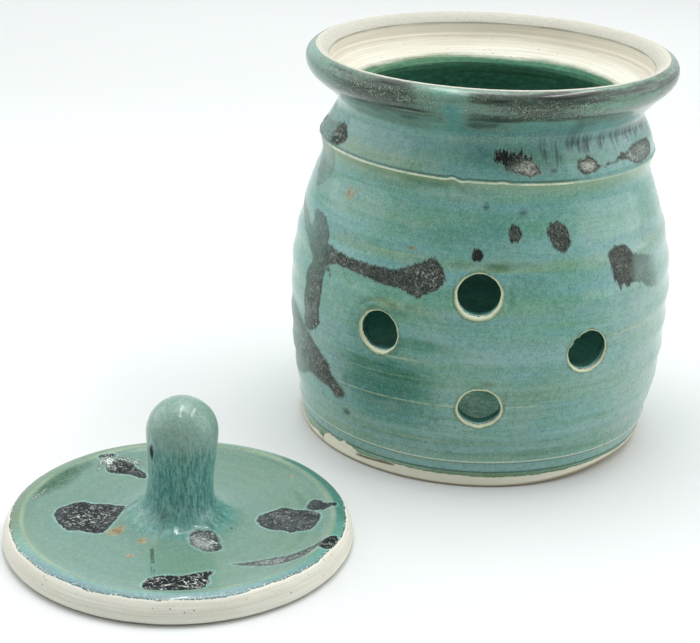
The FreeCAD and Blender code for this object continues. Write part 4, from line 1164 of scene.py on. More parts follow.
# =====================================================================
# materials
# =====================================================================
class Nodes:
    """Short ways to write a node tree."""

    def __init__(self, name):
        self.mat = bpy.data.materials.new(name)
        self.mat.use_nodes = True
        self.t = self.mat.node_tree
        self.t.nodes.clear()

    def new(self, kind, **props):
        n = self.t.nodes.new(kind)
        for k, v in props.items():
            setattr(n, k, v)
        return n

    def put(self, socket, v):
        if v is None:
            return
        if isinstance(v, bpy.types.NodeSocket):
            self.t.links.new(v, socket)
        else:
            socket.default_value = v

    def math(self, op, a, b=None, c=None, clamp=False):
        n = self.new("ShaderNodeMath", operation=op, use_clamp=clamp)
        self.put(n.inputs[0], a)
        self.put(n.inputs[1], b)
        if c is not None:
            self.put(n.inputs[2], c)
        return n.outputs[0]

    def add(self, a, b): return self.math("ADD", a, b)
    def sub(self, a, b): return self.math("SUBTRACT", a, b)
    def mul(self, a, b): return self.math("MULTIPLY", a, b)
    def mad(self, a, b, c): return self.math("MULTIPLY_ADD", a, b, c)

    def clip(self, a):
        return self.math("ADD", a, 0.0, clamp=True)

    def rng(self, v, a, b, c=0.0, d=1.0, smooth=True):
        n = self.new("ShaderNodeMapRange",
                     interpolation_type="SMOOTHSTEP" if smooth else "LINEAR", clamp=True)
        for i, x in enumerate((v, a, b, c, d)):
            self.put(n.inputs[i], x)
        return n.outputs[0]

    def attr(self, name):
        return self.new("ShaderNodeAttribute", attribute_name=name).outputs["Fac"]

    def mix(self, f, a, b):
        n = self.new("ShaderNodeMix", data_type="RGBA")
        self.put(n.inputs[0], f)
        self.put(n.inputs[6], a)
        self.put(n.inputs[7], b)
        return n.outputs[2]

    def mult(self, f, a, b):
        n = self.new("ShaderNodeMix", data_type="RGBA", blend_type="MULTIPLY")
        self.put(n.inputs[0], f)
        self.put(n.inputs[6], a)
        self.put(n.inputs[7], b)
        return n.outputs[2]

    def coords(self, scale):
        """Object position in mm, stretched by scale."""
        if not hasattr(self, "_obj"):
            self._obj = self.new("ShaderNodeTexCoord").outputs["Object"]
        n = self.new("ShaderNodeMapping")
        self.put(n.inputs["Vector"], self._obj)
        n.inputs["Scale"].default_value = tuple(1000.0 * s for s in scale)
        return n.outputs[0]

    def coords_z(self):
        """Height in mm."""
        if not hasattr(self, "_z"):
            s = self.new("ShaderNodeSeparateXYZ")
            self.put(s.inputs[0], self.coords((1, 1, 1)))
            self._z = s.outputs[2]
        return self._z

    def noise(self, vec, scale=1.0, detail=2.0, rough=0.5, dist=0.0, seed=0.0):
        n = self.new("ShaderNodeTexNoise", noise_dimensions="4D")
        self.put(n.inputs["Vector"], vec)
        n.inputs["W"].default_value = seed
        n.inputs["Scale"].default_value = scale
        n.inputs["Detail"].default_value = detail
        n.inputs["Roughness"].default_value = rough
        n.inputs["Distortion"].default_value = dist
        return n.outputs["Fac"]

    def cells(self, vec, scale=1.0, feature="F1", rand=1.0):
        n = self.new("ShaderNodeTexVoronoi", feature=feature)
        self.put(n.inputs["Vector"], vec)
        n.inputs["Scale"].default_value = scale
        n.inputs["Randomness"].default_value = rand
        return n.outputs["Distance"]

    def ramp(self, f, stops, mode="LINEAR"):
        n = self.new("ShaderNodeValToRGB")
        n.color_ramp.interpolation = mode
        e = n.color_ramp.elements
        while len(e) < len(stops):
            e.new(0.5)
        for el, (pos, col) in zip(e, stops):
            el.position = pos
            el.color = col if len(col) == 4 else (*col, 1)
        self.put(n.inputs[0], f)
        return n.outputs[0]


C = {
    "teal": (99, 158, 147), "teal_green": (99, 155, 127), "teal_blue": (109, 162, 163),
    "pale": (146, 182, 181), "olive": (133, 158, 110), "olive_dark": (84, 104, 54),
    "pool": (30, 94, 74), "deep": (44, 115, 116),
    "black": (15, 17, 15), "grey": (54, 61, 55), "mid": (101, 110, 101), "ash": (186, 190, 178),
    "worm": (212, 214, 202), "cream": (220, 219, 207), "clay": (202, 200, 186),
    "black2": (14, 18, 21), "grey2": (44, 51, 55), "mid2": (88, 95, 96), "ash2": (162, 170, 166),
    "worm2": (216, 222, 213),
    "tan": (184, 174, 148), "rust": (156, 126, 78), "rust_dark": (92, 70, 38),
    "line": (180, 194, 150), "inner": (94, 166, 140), "inner_deep": (66, 132, 110),
    "rim_dark": (28, 34, 26), "rim_mid": (101, 132, 115), "rim_pale": (164, 182, 158),
    "run": (56, 86, 82), "run_dark": (26, 44, 43),
    "halo": (130, 172, 166), "halo2": (152, 192, 186), "moss": (66, 92, 46),
}
C = {k: lin(v) for k, v in C.items()}


def glaze_body(n, pool, olive, blue, bands):
    """The plain glaze: teal, with its banding, mottling, grain and flecks."""
    band = n.noise(n.coords((0.012, 0.012, 0.30)), 1.0, 3.0, 0.55, 0.6, 3.1)
    cloud = n.noise(n.coords((0.05, 0.05, 0.07)), 1.0, 3.0, 0.55, 0.3, 1.7)
    drift = n.noise(n.coords((0.16, 0.16, 0.05)), 1.0, 3.0, 0.6, 0.4, 7.7)
    mott = n.noise(n.coords((0.95, 0.95, 0.8)), 1.0, 4.0, 0.66, 0.2, 5.2)
    f1 = n.mad(n.rng(band, 0.36, 0.62), 0.74 * bands, 0.5 - 0.37 * bands)
    f1 = n.clip(n.add(f1, n.mul(n.sub(cloud, 0.5), 1.7)))
    col = n.mix(f1, C["teal_green"], C["teal_blue"])
    f2 = n.rng(drift, 0.35, 0.65)
    col = n.mix(n.mul(f2, 0.45), col, C["teal"])
    wob = n.sub(drift, 0.5)
    fo = n.clip(n.add(olive, n.mul(n.mul(n.sub(band, 0.48), 2.2), n.rng(olive, 0.02, 0.4))))
    fo = n.clip(n.mad(n.sub(mott, 0.5), n.mul(fo, 0.8), fo))
    col = n.mix(n.mul(fo, 0.72), col, C["olive"])
    fb = n.clip(n.mad(wob, 1.1, blue))
    fb = n.mul(fb, n.rng(blue, 0.02, 0.25))
    col = n.mix(n.mul(fb, 0.60), col, C["pale"])
    fp = n.clip(n.mad(n.sub(mott, 0.5), 0.7, pool))
    fp = n.mul(fp, n.rng(pool, 0.02, 0.2))
    col = n.mix(n.mul(fp, 0.85), col, C["pool"])
    return col, mott, band, cloud


def grain(n, col, mott, amount):
    """Fine light and dark grain that glaze of this kind breaks into."""
    g1 = n.noise(n.coords((1.9, 1.9, 1.6)), 1.0, 3.0, 0.7, 0.0, 35.0)
    g2 = n.noise(n.coords((0.62, 0.62, 0.50)), 1.0, 4.0, 0.72, 0.3, 45.0)
    g3 = n.noise(n.coords((0.16, 0.16, 1.5)), 1.0, 3.0, 0.65, 0.2, 47.5)
    col = n.mix(n.mul(n.rng(g2, 0.50, 0.66), 0.26 * amount), col, lin((50, 104, 90)))
    col = n.mix(n.mul(n.rng(g2, 0.48, 0.32), 0.22 * amount), col, lin((152, 194, 188)))
    col = n.mix(n.mul(n.rng(g1, 0.53, 0.67), 0.26 * amount), col, lin((170, 208, 202)))
    col = n.mix(n.mul(n.rng(g1, 0.48, 0.34), 0.34 * amount), col, lin((40, 88, 78)))
    col = n.mix(n.mul(n.rng(g3, 0.53, 0.68), 0.16 * amount), col, lin((132, 158, 112)))
    col = n.mix(n.mul(n.rng(g3, 0.47, 0.32), 0.16 * amount), col, lin((66, 122, 118)))
    pt = n.cells(n.coords((0.95, 0.95, 0.95)), 1.0, "F1", 1.0)
    pk = n.rng(n.noise(n.coords((0.10, 0.10, 0.26)), 1.0, 2.0, 0.5, 0.0, 46.0), 0.44, 0.62)
    col = n.mix(n.mul(n.mul(n.rng(pt, 0.26, 0.10), pk), 0.04 * amount), col, lin((190, 220, 214)))
    return col, g1


def splash(n, col, d, tone, cry, soft, feather=None, worms=1.0, opacity=None, hue="", hair=None):
    """Dark splashes with light, worm-like crystals. Returns the colour,
    how much of it is splash, and its relief."""
    e1 = n.noise(n.coords((0.7, 0.7, 0.7)), 1.0, 3.0, 0.6, 0.0, 11.0)
    e2 = n.noise(n.coords((2.4, 2.4, 2.0)), 1.0, 2.0, 0.6, 0.0, 12.0)
    e = n.mad(n.sub(e1, 0.5), 1.5, d)
    e = n.mad(n.sub(e2, 0.5), 1.3, e)
    if feather is not None:
        st = n.noise(hair, 1.35, 2.0, 0.62, 0.0, 13.0)
        e = n.add(e, n.mul(n.mul(n.sub(st, 0.5), 6.2), feather))
    w = n.mad(soft, 2.6, 0.20)
    mask = n.rng(n.math("DIVIDE", e, w), 1.0, -1.0)
    halo = n.mul(n.rng(e, 1.0, 0.3), n.sub(1.0, mask))
    col = n.mix(n.mul(halo, 0.46 if hue else 0.20), col, C["halo" + hue])
    # body of the splash
    black, grey, mid, ash = C["black" + hue], C["grey" + hue], C["mid" + hue], C["ash" + hue]
    tex = n.noise(n.coords((1.7, 1.7, 1.35)), 1.0, 4.0, 0.74, 0.3, 14.0)
    broad = n.noise(n.coords((0.22, 0.22, 0.22)), 1.0, 2.0, 0.5, 0.0, 19.0)
    t = n.add(tone, n.mul(n.sub(tex, 0.5), 1.75))
    t = n.clip(n.add(t, n.mul(n.sub(broad, 0.5), 0.6)))
    body = n.ramp(t, [(0.0, black), (0.32, grey), (0.64, mid), (1.0, ash)])
    pale = n.rng(tone, 0.55, 0.85)
    # crystals: thin curved marks along the contours of a noise
    k = 0.40 * worms
    worm = n.noise(n.coords((k, k, k)), 1.0, 1.0, 0.5, 1.6, 15.0)
    w1 = n.math("ABSOLUTE", n.sub(worm, 0.5))
    k = 0.62 * worms
    worm2 = n.noise(n.coords((k, k, k * 0.9)), 1.0, 1.0, 0.5, 1.3, 16.5)
    w2 = n.math("ABSOLUTE", n.sub(worm2, 0.53))
    cut = n.rng(n.noise(n.coords((0.62, 0.62, 0.62)), 1.0, 1.0, 0.5, 0.0, 17.5), 0.485, 0.545)
    cut2 = n.rng(n.noise(n.coords((0.66, 0.66, 0.66)), 1.0, 1.0, 0.5, 0.0, 27.5), 0.49, 0.55)
    marks = n.math("MAXIMUM", n.mul(n.rng(w1, 0.034, 0.012), cut),
                   n.mul(n.rng(w2, 0.032, 0.011), n.mul(cut2, 0.85)))
    marks = n.mul(marks, cry)
    body = n.mix(n.mul(n.mul(n.rng(cry, 0.15, 0.7), n.sub(1.0, marks)), n.mad(pale, -0.36, 0.36)), body, black)
    body = n.mix(n.mul(marks, 0.92), body, C["worm" + hue])
    # dark pits and squiggles between them
    pit = n.rng(n.noise(n.coords((1.35, 1.35, 1.2)), 1.0, 2.0, 0.5, 0.0, 18.0), 0.48, 0.36)
    body = n.mix(n.mul(n.mul(pit, n.sub(1.0, marks)), n.mad(pale, -0.25, 0.50)), body, black)
    body = n.mix(n.mul(n.mul(n.rng(w2, 0.085, 0.032), n.rng(tone, 0.36, 0.50)), n.mad(cry, -0.5, 0.62)), body, black)
    rim = n.mul(n.rng(n.math("ABSOLUTE", n.add(e, 0.40)), 0.60, 0.05), mask)
    body = n.mix(n.mul(rim, n.mad(pale, 0.35, 0.40)), body, black)
    if opacity is not None:
        gaps = n.mul(n.sub(tex, 0.5), n.mul(n.sub(1.0, opacity), 2.2))
        mask = n.mul(mask, n.mul(n.clip(n.add(opacity, gaps)), n.rng(opacity, 0.0, 0.12)))
    col = n.mix(mask, col, body)
    return col, mask, n.mul(marks, mask), tex


def clay_body(n, ringcoord):
    grit = n.noise(n.coords((2.1, 2.1, 2.1)), 1.0, 5.0, 0.74, 0.0, 21.0)
    big = n.noise(n.coords((0.06, 0.06, 0.1)), 1.0, 2.0, 0.5, 0.0, 22.0)
    ringn = n.noise(ringcoord, 1.0, 4.0, 0.68, 0.1, 23.0)
    col = n.mix(n.rng(ringn, 0.36, 0.64), C["clay"], C["cream"])
    col = n.mix(n.mul(n.rng(big, 0.40, 0.70), 0.16), col, C["tan"])
    col = n.mix(n.mul(n.rng(grit, 0.52, 0.72), 0.42), col, lin((176, 168, 146)))
    col = n.mix(n.mul(n.rng(grit, 0.46, 0.30), 0.45), col, lin((240, 238, 230)))
    speck = n.cells(n.coords((0.42, 0.42, 0.42)), 1.0, "F1", 1.0)
    keep = n.rng(n.noise(n.coords((0.10, 0.10, 0.10)), 1.0, 1.0, 0.5, 0.0, 24.0), 0.47, 0.55)
    spots = n.mul(n.rng(speck, 0.14, 0.07), keep)
    col = n.mix(n.mul(spots, 0.8), col, lin((84, 78, 62)))
    return col, grit, ringn


def finish_material(n, col, rough, height, coat, bump=1.0):
    b = n.new("ShaderNodeBsdfPrincipled")
    b.inputs["IOR"].default_value = 1.27
    b.inputs["Coat Roughness"].default_value = 0.045
    b.inputs["Coat IOR"].default_value = 1.5
    n.put(b.inputs["Base Color"], col)
    n.put(b.inputs["Roughness"], rough)
    n.put(b.inputs["Coat Weight"], coat)
    bm = n.new("ShaderNodeBump")
    bm.inputs["Strength"].default_value = bump
    bm.inputs["Distance"].default_value = 0.001
    n.put(bm.inputs["Height"], height)
    n.t.links.new(bm.outputs[0], b.inputs["Normal"])
    n.t.links.new(bm.outputs[0], b.inputs["Coat Normal"])
    out = n.new("ShaderNodeOutputMaterial")
    n.t.links.new(b.outputs[0], out.inputs[0])
    return n.mat


def jar_material():
    n = Nodes("jar_glaze")
    a = n.attr
    col, mott, band, cloud = glaze_body(n, a("pool"), a("olive"), a("blue"), 1.0)
    # deep blue-green spots in the neck
    col = n.mix(n.mul(n.clip(n.mad(n.sub(mott, 0.5), 0.9, a("deep"))), n.mul(n.rng(a("deep"), 0.05, 0.3), 0.75)),
                col, C["deep"])
    # fine rings left by the fingers: thin glaze on each crest
    zh = a("zh")
    comb = n.new("ShaderNodeCombineXYZ")
    n.put(comb.inputs[2], zh)
    slow = n.noise(n.coords((0.02, 0.02, 0.0)), 1.0, 2.0, 0.5, 0.0, 31.0)
    n.put(comb.inputs[0], n.mul(slow, 3.0))
    rings = n.noise(comb.outputs[0], 0.85, 5.0, 0.66, 0.0, 32.0)
    rings2 = n.noise(comb.outputs[0], 0.30, 3.0, 0.6, 0.0, 33.0)
    fine = a("fine")
    patch = n.rng(cloud, 0.36, 0.62, 0.35, 1.0)
    lift = n.mul(n.mul(n.rng(rings, 0.55, 0.72), patch), n.mul(fine, 0.30))
    col = n.mix(lift, col, C["olive"])
    drop = n.mul(n.mul(n.rng(rings, 0.45, 0.30), patch), n.mul(fine, 0.26))
    col = n.mix(drop, col, C["deep"])
    col = n.mix(n.mul(n.rng(rings2, 0.52, 0.68), n.mul(fine, 0.16)), col, C["pale"])
    col = n.mix(n.mul(n.rng(rings2, 0.46, 0.30), n.mul(fine, 0.14)), col, C["pool"])
    # thin streaks that flow round with the throwing
    sk = n.noise(n.coords((0.030, 0.030, 1.15)), 1.0, 5.0, 0.66, 0.25, 62.0)
    sk2 = n.noise(n.coords((0.018, 0.018, 0.42)), 1.0, 4.0, 0.60, 0.3, 63.0)
    sw = n.mul(n.mad(n.rng(n.coords_z(), 84.0, 30.0), 0.50, 0.50), n.rng(n.noise(n.coords((0.045, 0.045, 0.06)), 1.0, 2.0, 0.5, 0.0, 64.0), 0.38, 0.62, 0.45, 1.15))
    col = n.mix(n.mul(n.rng(sk, 0.52, 0.66), n.mul(sw, 0.24)), col, lin((48, 108, 88)))
    col = n.mix(n.mul(n.rng(sk, 0.48, 0.34), n.mul(sw, 0.22)), col, lin((146, 182, 168)))
    col = n.mix(n.mul(n.rng(sk2, 0.52, 0.66), n.mul(sw, 0.34)), col, lin((72, 132, 88)))
    col = n.mix(n.mul(n.rng(sk2, 0.47, 0.34), n.mul(sw, 0.30)), col, lin((116, 166, 172)))
    # soft, grey clouds
    gc = n.noise(n.coords((0.075, 0.075, 0.11)), 1.0, 4.0, 0.62, 0.5, 65.0)
    col = n.mix(n.mul(n.rng(gc, 0.50, 0.66), 0.34), col, lin((136, 166, 156)))
    col = n.mix(n.mul(n.rng(gc, 0.47, 0.34), 0.26), col, lin((78, 134, 118)))
    warm = n.math("MAXIMUM", n.mul(n.rng(n.coords_z(), 62.0, 38.0), 0.045), n.mul(n.rng(a("sa"), 34.0, 58.0), n.mul(n.rng(n.coords_z(), 88.0, 70.0), 0.12)))
    warm = n.mul(warm, n.rng(a("pool"), 0.5, 0.1))
    col = n.mix(warm, col, lin((206, 190, 178)))
    # the few marked lines
    line = None
    for zk, hw, st in LINES:
        w = n.mul(n.rng(n.math("ABSOLUTE", n.sub(zh, zk)), hw * 1.15, hw * 0.2), st)
        line = w if line is None else n.math("MAXIMUM", line, w)
    broken = n.rng(n.noise(n.coords((0.35, 0.35, 0.2)), 1.0, 3.0, 0.6, 0.0, 34.0), 0.32, 0.56, 0.25, 1.0)
    line = n.mul(n.mul(line, a("lw")), broken)
    col = n.mix(n.mul(line, 0.80), col, C["line"])
    col, g1 = grain(n, col, mott, 1.15)
    sep = n.new("ShaderNodeSeparateXYZ")
    n.put(sep.inputs[0], n.coords((1, 1, 1)))
    sepz = sep.outputs[2]
    # thin, brownish glaze round the vents
    lip = a("lip")
    ms = n.clip(n.mad(n.sub(mott, 0.5), 1.2, a("moss")))
    ms = n.mul(ms, n.rng(a("moss"), 0.04, 0.25))
    col = n.mix(n.mul(ms, 0.72), col, C["moss"])
    e_ring = n.noise(n.coords((0.30, 0.30, 0.30)), 1.0, 2.0, 0.6, 0.0, 66.0)
    tanring = n.mul(n.rng(lip, 1.05, 0.15), n.rng(lip, -0.3, 0.0))
    tanring = n.mul(tanring, n.rng(mott, 0.36, 0.58, 0.35, 1.0))
    col = n.mix(n.mul(tanring, n.rng(e_ring, 0.40, 0.60, 0.25, 0.85)), col, lin((82, 96, 54)))
    # rust
    ru = n.clip(n.mul(n.add(a("rust"), n.mul(n.sub(n.noise(n.coords((1.1, 1.1, 1.1)), 1.0, 3.0, 0.6, 0.0, 36.0), 0.5), 1.3)),
                      n.rng(a("rust"), 0.05, 0.35)))
    col = n.mix(n.mul(ru, 0.75), col, C["rust"])
    col = n.mix(n.rng(ru, 0.70, 1.0, 0.0, 0.6), col, C["rust_dark"])
    # dark mottled rim: streaks along the roll, runs down the neck
    rd = a("rimdark")
    st = n.noise(n.coords((0.9, 0.9, 0.13)), 1.0, 3.0, 0.62, 0.0, 37.0)
    sh = n.noise(n.coords((0.07, 0.07, 0.95)), 1.0, 3.0, 0.6, 0.3, 37.5)
    gr = n.noise(n.coords((2.5, 2.5, 2.1)), 1.0, 3.0, 0.72, 0.0, 38.0)
    g2 = n.noise(n.coords((0.32, 0.32, 0.8)), 1.0, 3.0, 0.62, 0.2, 39.0)
    high = n.rng(sepz, 113.0, 117.0)
    stm = n.mix(high, st, sh)
    v = n.add(rd, n.mul(n.sub(stm, 0.5), 1.10))
    v = n.add(v, n.mul(n.sub(gr, 0.5), 1.50))
    v = n.mul(v, n.rng(rd, 0.03, 0.25))
    mid = n.rng(v, 0.10, 0.62)
    dark = n.rng(n.add(v, n.mul(n.sub(g2, 0.5), 1.5)), 0.78, 1.25)
    col = n.mix(n.mul(mid, 0.80), col, C["rim_mid"])
    col = n.mix(n.mul(dark, 0.82), col, C["rim_dark"])
    rgn = a("rgrain")
    col = n.mix(n.mul(n.rng(gr, 0.49, 0.41), n.mul(mid, n.mad(rgn, 0.55, 0.18))), col, C["rim_dark"])
    clump = n.rng(g2, 0.44, 0.58, 0.22, 1.0)
    frost = n.mul(n.mul(n.rng(gr, 0.505, 0.60), clump), n.mul(mid, n.mad(rgn, 0.78, 0.14)))
    col = n.mix(frost, col, C["rim_pale"])
    rbk = n.add(a("rblack"), n.mul(n.sub(sh, 0.5), 1.1))
    rbk = n.mul(n.add(rbk, n.mul(n.sub(gr, 0.5), 0.9)), n.rng(a("rblack"), 0.05, 0.2))
    col = n.mix(n.mul(n.rng(rbk, 0.28, 0.62), 0.88), col, lin((22, 27, 21)))
    col = n.mix(n.mul(a("rline"), n.rng(gr, 0.42, 0.52, 0.3, 0.9)), col, lin((158, 172, 150)))
    # runs that hang from it down the neck
    rn = a("runs")
    hv = n.new("ShaderNodeCombineXYZ")
    n.put(hv.inputs[0], a("sa"))
    n.put(hv.inputs[1], n.mul(sepz, 0.13))
    rs = n.noise(hv.outputs[0], 0.95, 3.0, 0.66, 0.0, 37.2)
    rv = n.add(rn, n.mul(n.sub(rs, 0.5), n.rng(sepz, 113.0, 110.5, 1.0, 3.0)))
    rv = n.add(rv, n.mul(n.sub(gr, 0.5), 1.5))
    rv = n.mul(rv, n.rng(rn, 0.03, 0.30))
    col = n.mix(n.mul(n.rng(rv, 0.30, 0.85), 0.62), col, C["run"])
    col = n.mix(n.mul(n.rng(rv, 0.78, 1.20), 0.75), col, C["run_dark"])
    # the neck's own dark grain
    ng = a("ngr")
    col = n.mix(n.mul(ng, n.rng(stm, 0.36, 0.62, 0.06, 0.34)), col, lin((66, 110, 106)))
    col = n.mix(n.mul(n.mul(n.rng(gr, 0.51, 0.41), ng), 0.55), col, lin((34, 66, 64)))
    col = n.mix(n.mul(n.mul(n.rng(gr, 0.53, 0.62), ng), 0.34), col, lin((146, 178, 168)))
    # inside: deep green, painted darker lower down as shade; the floor speckled, painted paler as a pool of light from
    # the mouth and dark as shade away from it
    inn = a("inner")
    deepin = n.mix(n.rng(n.noise(n.coords((0.35, 0.35, 0.9)), 1.0, 3.0, 0.6, 0.0, 40.0), 0.35, 0.65),
                   C["inner_deep"], C["inner"])
    # painted shade: darker further down inside the jar
    deepin = n.mix(n.rng(sepz, 88.0, 78.0, 0.0, 0.75), deepin, lin((40, 84, 80)))
    deepin = n.mix(n.rng(g1, 0.54, 0.68, 0.0, 0.5), deepin, lin((92, 142, 124)))
    deepin = n.mix(n.rng(g1, 0.46, 0.34, 0.0, 0.5), deepin, lin((22, 60, 46)))
    fl = n.mix(n.rng(n.noise(n.coords((0.5, 0.5, 0.5)), 1.0, 3.0, 0.6, 0.0, 47.0), 0.36, 0.64),
               lin((80, 124, 102)), lin((120, 150, 138)))
    fl = n.mix(n.rng(n.noise(n.coords((0.17, 0.17, 0.17)), 1.0, 2.0, 0.5, 0.0, 67.0), 0.50, 0.62, 0.0, 0.65), fl, lin((62, 106, 84)))
    fl = n.mix(n.rng(g1, 0.53, 0.64, 0.0, 0.42), fl, lin((180, 202, 190)))
    fl = n.mix(n.rng(g1, 0.46, 0.36, 0.0, 0.45), fl, lin((46, 84, 66)))
    fl = n.mix(n.rng(n.cells(n.coords((1.0, 1.0, 1.0)), 1.0, "F1", 1.0), 0.20, 0.11, 0.0, 0.8), fl, lin((226, 234, 228)))
    # painted light: the floor stays pale round (2, -15), where light from the mouth falls; beyond it, painted shade
    floor_light_dist = n.new("ShaderNodeVectorMath", operation="DISTANCE")
    n.put(floor_light_dist.inputs[0], n.coords((1, 1, 0)))
    floor_light_dist.inputs[1].default_value = (2.0, -15.0, 0.0)
    fl = n.mix(n.rng(floor_light_dist.outputs["Value"], 24.0, 33.0, 0.0, 0.85), fl, lin((34, 84, 72)))
    deepin = n.mix(n.rng(sepz, 12.5, 8.6), deepin, fl)
    deepin = n.mix(n.rng(rings, 0.50, 0.66, 0.0, 0.35), deepin, lin((70, 132, 104)))
    oliveedge = n.mul(n.rng(sepz, 111.0, 115.0), n.rng(n.noise(n.coords((0.02, 0.02, 1.3)), 1.0, 3.0, 0.6, 0.0, 41.0), 0.42, 0.60, 0.25, 1.0))
    deepin = n.mix(n.mul(oliveedge, 0.75), deepin, lin((72, 98, 58)))
    thread = n.noise(n.coords((0.012, 0.012, 2.4)), 1.0, 3.0, 0.6, 0.0, 41.5)
    edgez = n.rng(sepz, 106.0, 113.0)
    deepin = n.mix(n.mul(n.rng(sepz, 108.0, 112.0), 0.45), deepin, lin((44, 82, 58)))
    deepin = n.mix(n.mul(n.mul(n.rng(thread, 0.54, 0.60), edgez), 0.34), deepin, lin((136, 156, 108)))
    deepin = n.mix(n.mul(n.mul(n.rng(thread, 0.46, 0.40), edgez), 0.65), deepin, lin((20, 46, 30)))
    # the sides of the vents, wetter and bluer: the lower side painted lighter as lit from above, with a painted bright
    # arc and painted white glints; the upper side, a dark line and the deep end painted darker as shade; the left
    # vent's bore darker on its left
    bo = a("bore")
    bcol = n.mix(n.rng(g1, 0.40, 0.60), lin((82, 144, 128)), lin((126, 178, 166)))
    # painted light and shade: the lower side lighter as lit from above, the upper side and the deep end dark as shade
    bcol = n.mix(n.mul(a("lowside"), 0.72), lin((34, 82, 72)), bcol)
    bcol = n.mix(n.mul(n.rng(lip, -3.5, -3.9), 0.70), bcol, lin((36, 82, 72)))
    # painted highlight: a bright arc on the lower side, then a painted dark line of shade
    bcol = n.mix(n.mul(n.mul(n.rng(n.math("ABSOLUTE", n.add(lip, 2.75)), 0.95, 0.50), a("lowside")), 0.92), bcol, lin((186, 226, 226)))
    bcol = n.mix(n.mul(n.mul(n.rng(n.math("ABSOLUTE", n.add(lip, 2.0)), 0.42, 0.12), a("lowside")), 0.75), bcol, lin((24, 58, 48)))
    bcol = n.mix(n.mul(a("bdark"), 0.85), bcol, lin((30, 70, 60)))
    deepin = n.mix(bo, deepin, bcol)
    # painted highlights: white glints on the lower side near the lip
    glint = n.mul(n.mul(n.rng(lip, -0.78, -0.95), n.rng(lip, -1.9, -1.5)), n.mul(bo, n.rng(a("lowside"), 0.75, 0.98)))
    glint = n.mul(glint, n.rng(n.noise(n.coords((0.5, 0.5, 0.8)), 1.0, 2.0, 0.6, 0.0, 61.0), 0.52, 0.60))
    inn = n.math("MAXIMUM", inn, bo)
    col = n.mix(inn, col, deepin)
    col = n.mix(glint, col, lin((235, 244, 246)))
    # splashes
    col, mask, marks, tex = splash(n, col, a("sp_d"), a("sp_tone"), a("sp_cry"), a("sp_soft"), a("sp_fea"),
                                  1.0, a("sp_op"), "", hv.outputs[0])
    # bare clay on the lips, the ridges and the foot
    ring = n.coords((0.03, 0.03, 3.2))
    clay, grit, ringn = clay_body(n, ring)
    e = n.noise(n.coords((0.9, 0.9, 0.9)), 1.0, 3.0, 0.6, 0.0, 42.0)
    ledge = n.mul(inn, n.rng(sepz, 112.5, 113.5))
    bare_e = n.mad(n.sub(e, 0.5), 0.7, a("bare"))
    bare_e = n.add(bare_e, n.mul(n.mul(n.sub(n.noise(n.coords((0.035, 0.035, 1.1)), 1.0, 4.0, 0.66, 0.2, 48.0), 0.5), 3.4), ledge))
    soften = n.mad(n.rng(sepz, 112.5, 113.5), n.mul(n.rng(sepz, 122.0, 120.0), 1.1), 0.10)
    bare = n.rng(n.math("DIVIDE", bare_e, soften), 1.0, -1.0)
    near = n.mul(n.rng(bare_e, 0.75, 0.1), n.sub(1.0, bare))
    col = n.mix(n.mul(near, 0.40), col, C["olive_dark"])
    # lips of the vents
    lipe = n.mad(n.sub(e, 0.5), 0.45, lip)
    lipin = n.add(lipe, n.mul(a("lowside"), n.mul(n.rng(e, 0.35, 0.65, 0.5, 1.0), 1.15)))
    lipb = n.mul(n.rng(n.mad(n.sub(e, 0.5), 0.55, lip), 0.12, -0.08), n.rng(lipin, -0.95, -0.76))
    # shoulder ridge: cream line with a dark one above
    rw = a("ridgew")
    zr = a("ridge")
    zre = n.mad(n.sub(e, 0.5), 0.35, zr)
    gap = n.rng(n.noise(n.coords((0.18, 0.18, 0.1)), 1.0, 3.0, 0.6, 0.0, 49.0), 0.32, 0.50, 0.45, 1.0)
    rb = n.mul(n.rng(n.math("ABSOLUTE", zre), 0.36, 0.16), n.mul(rw, gap))
    up = n.mul(n.rng(n.math("ABSOLUTE", n.sub(zre, 0.72)), 0.38, 0.10), n.mul(rw, 0.85))
    col = n.mix(n.mul(up, 0.8), col, lin((60, 74, 44)))
    down = n.mul(n.rng(zre, -2.6, -0.4), n.rng(zre, 0.3, -0.2))
    col = n.mix(n.mul(down, 0.45), col, C["olive"])
    fr = a("footridge")
    fre = n.mad(n.sub(e, 0.5), 0.25, fr)
    fb = n.mul(n.rng(n.math("ABSOLUTE", fre), 0.34, 0.14), n.rng(n.noise(n.coords((0.12, 0.12, 0.1)), 1.0, 2.0, 0.5, 0.0, 43.0), 0.30, 0.50, 0.40, 0.80))
    dl = n.mul(n.rng(n.math("ABSOLUTE", n.add(fre, 3.9)), 0.50, 0.10), 0.70)
    col = n.mix(dl, col, lin((36, 70, 56)))
    dl2 = n.mul(n.rng(n.math("ABSOLUTE", n.add(fre, 0.75)), 0.40, 0.10), 0.35)
    col = n.mix(dl2, col, lin((40, 78, 62)))
    exposed = n.math("MAXIMUM", n.math("MAXIMUM", lipb, rb), fb)
    thin = n.mix(n.rng(grit, 0.36, 0.64), lin((226, 230, 204)), lin((198, 206, 170)))
    lipcol = n.mix(n.rng(n.mad(n.sub(e, 0.5), 0.5, lip), -0.42, -0.08), lin((212, 219, 190)), lin((168, 180, 134)))
    thin = n.mix(lipb, thin, lipcol)
    col = n.mix(exposed, col, thin)
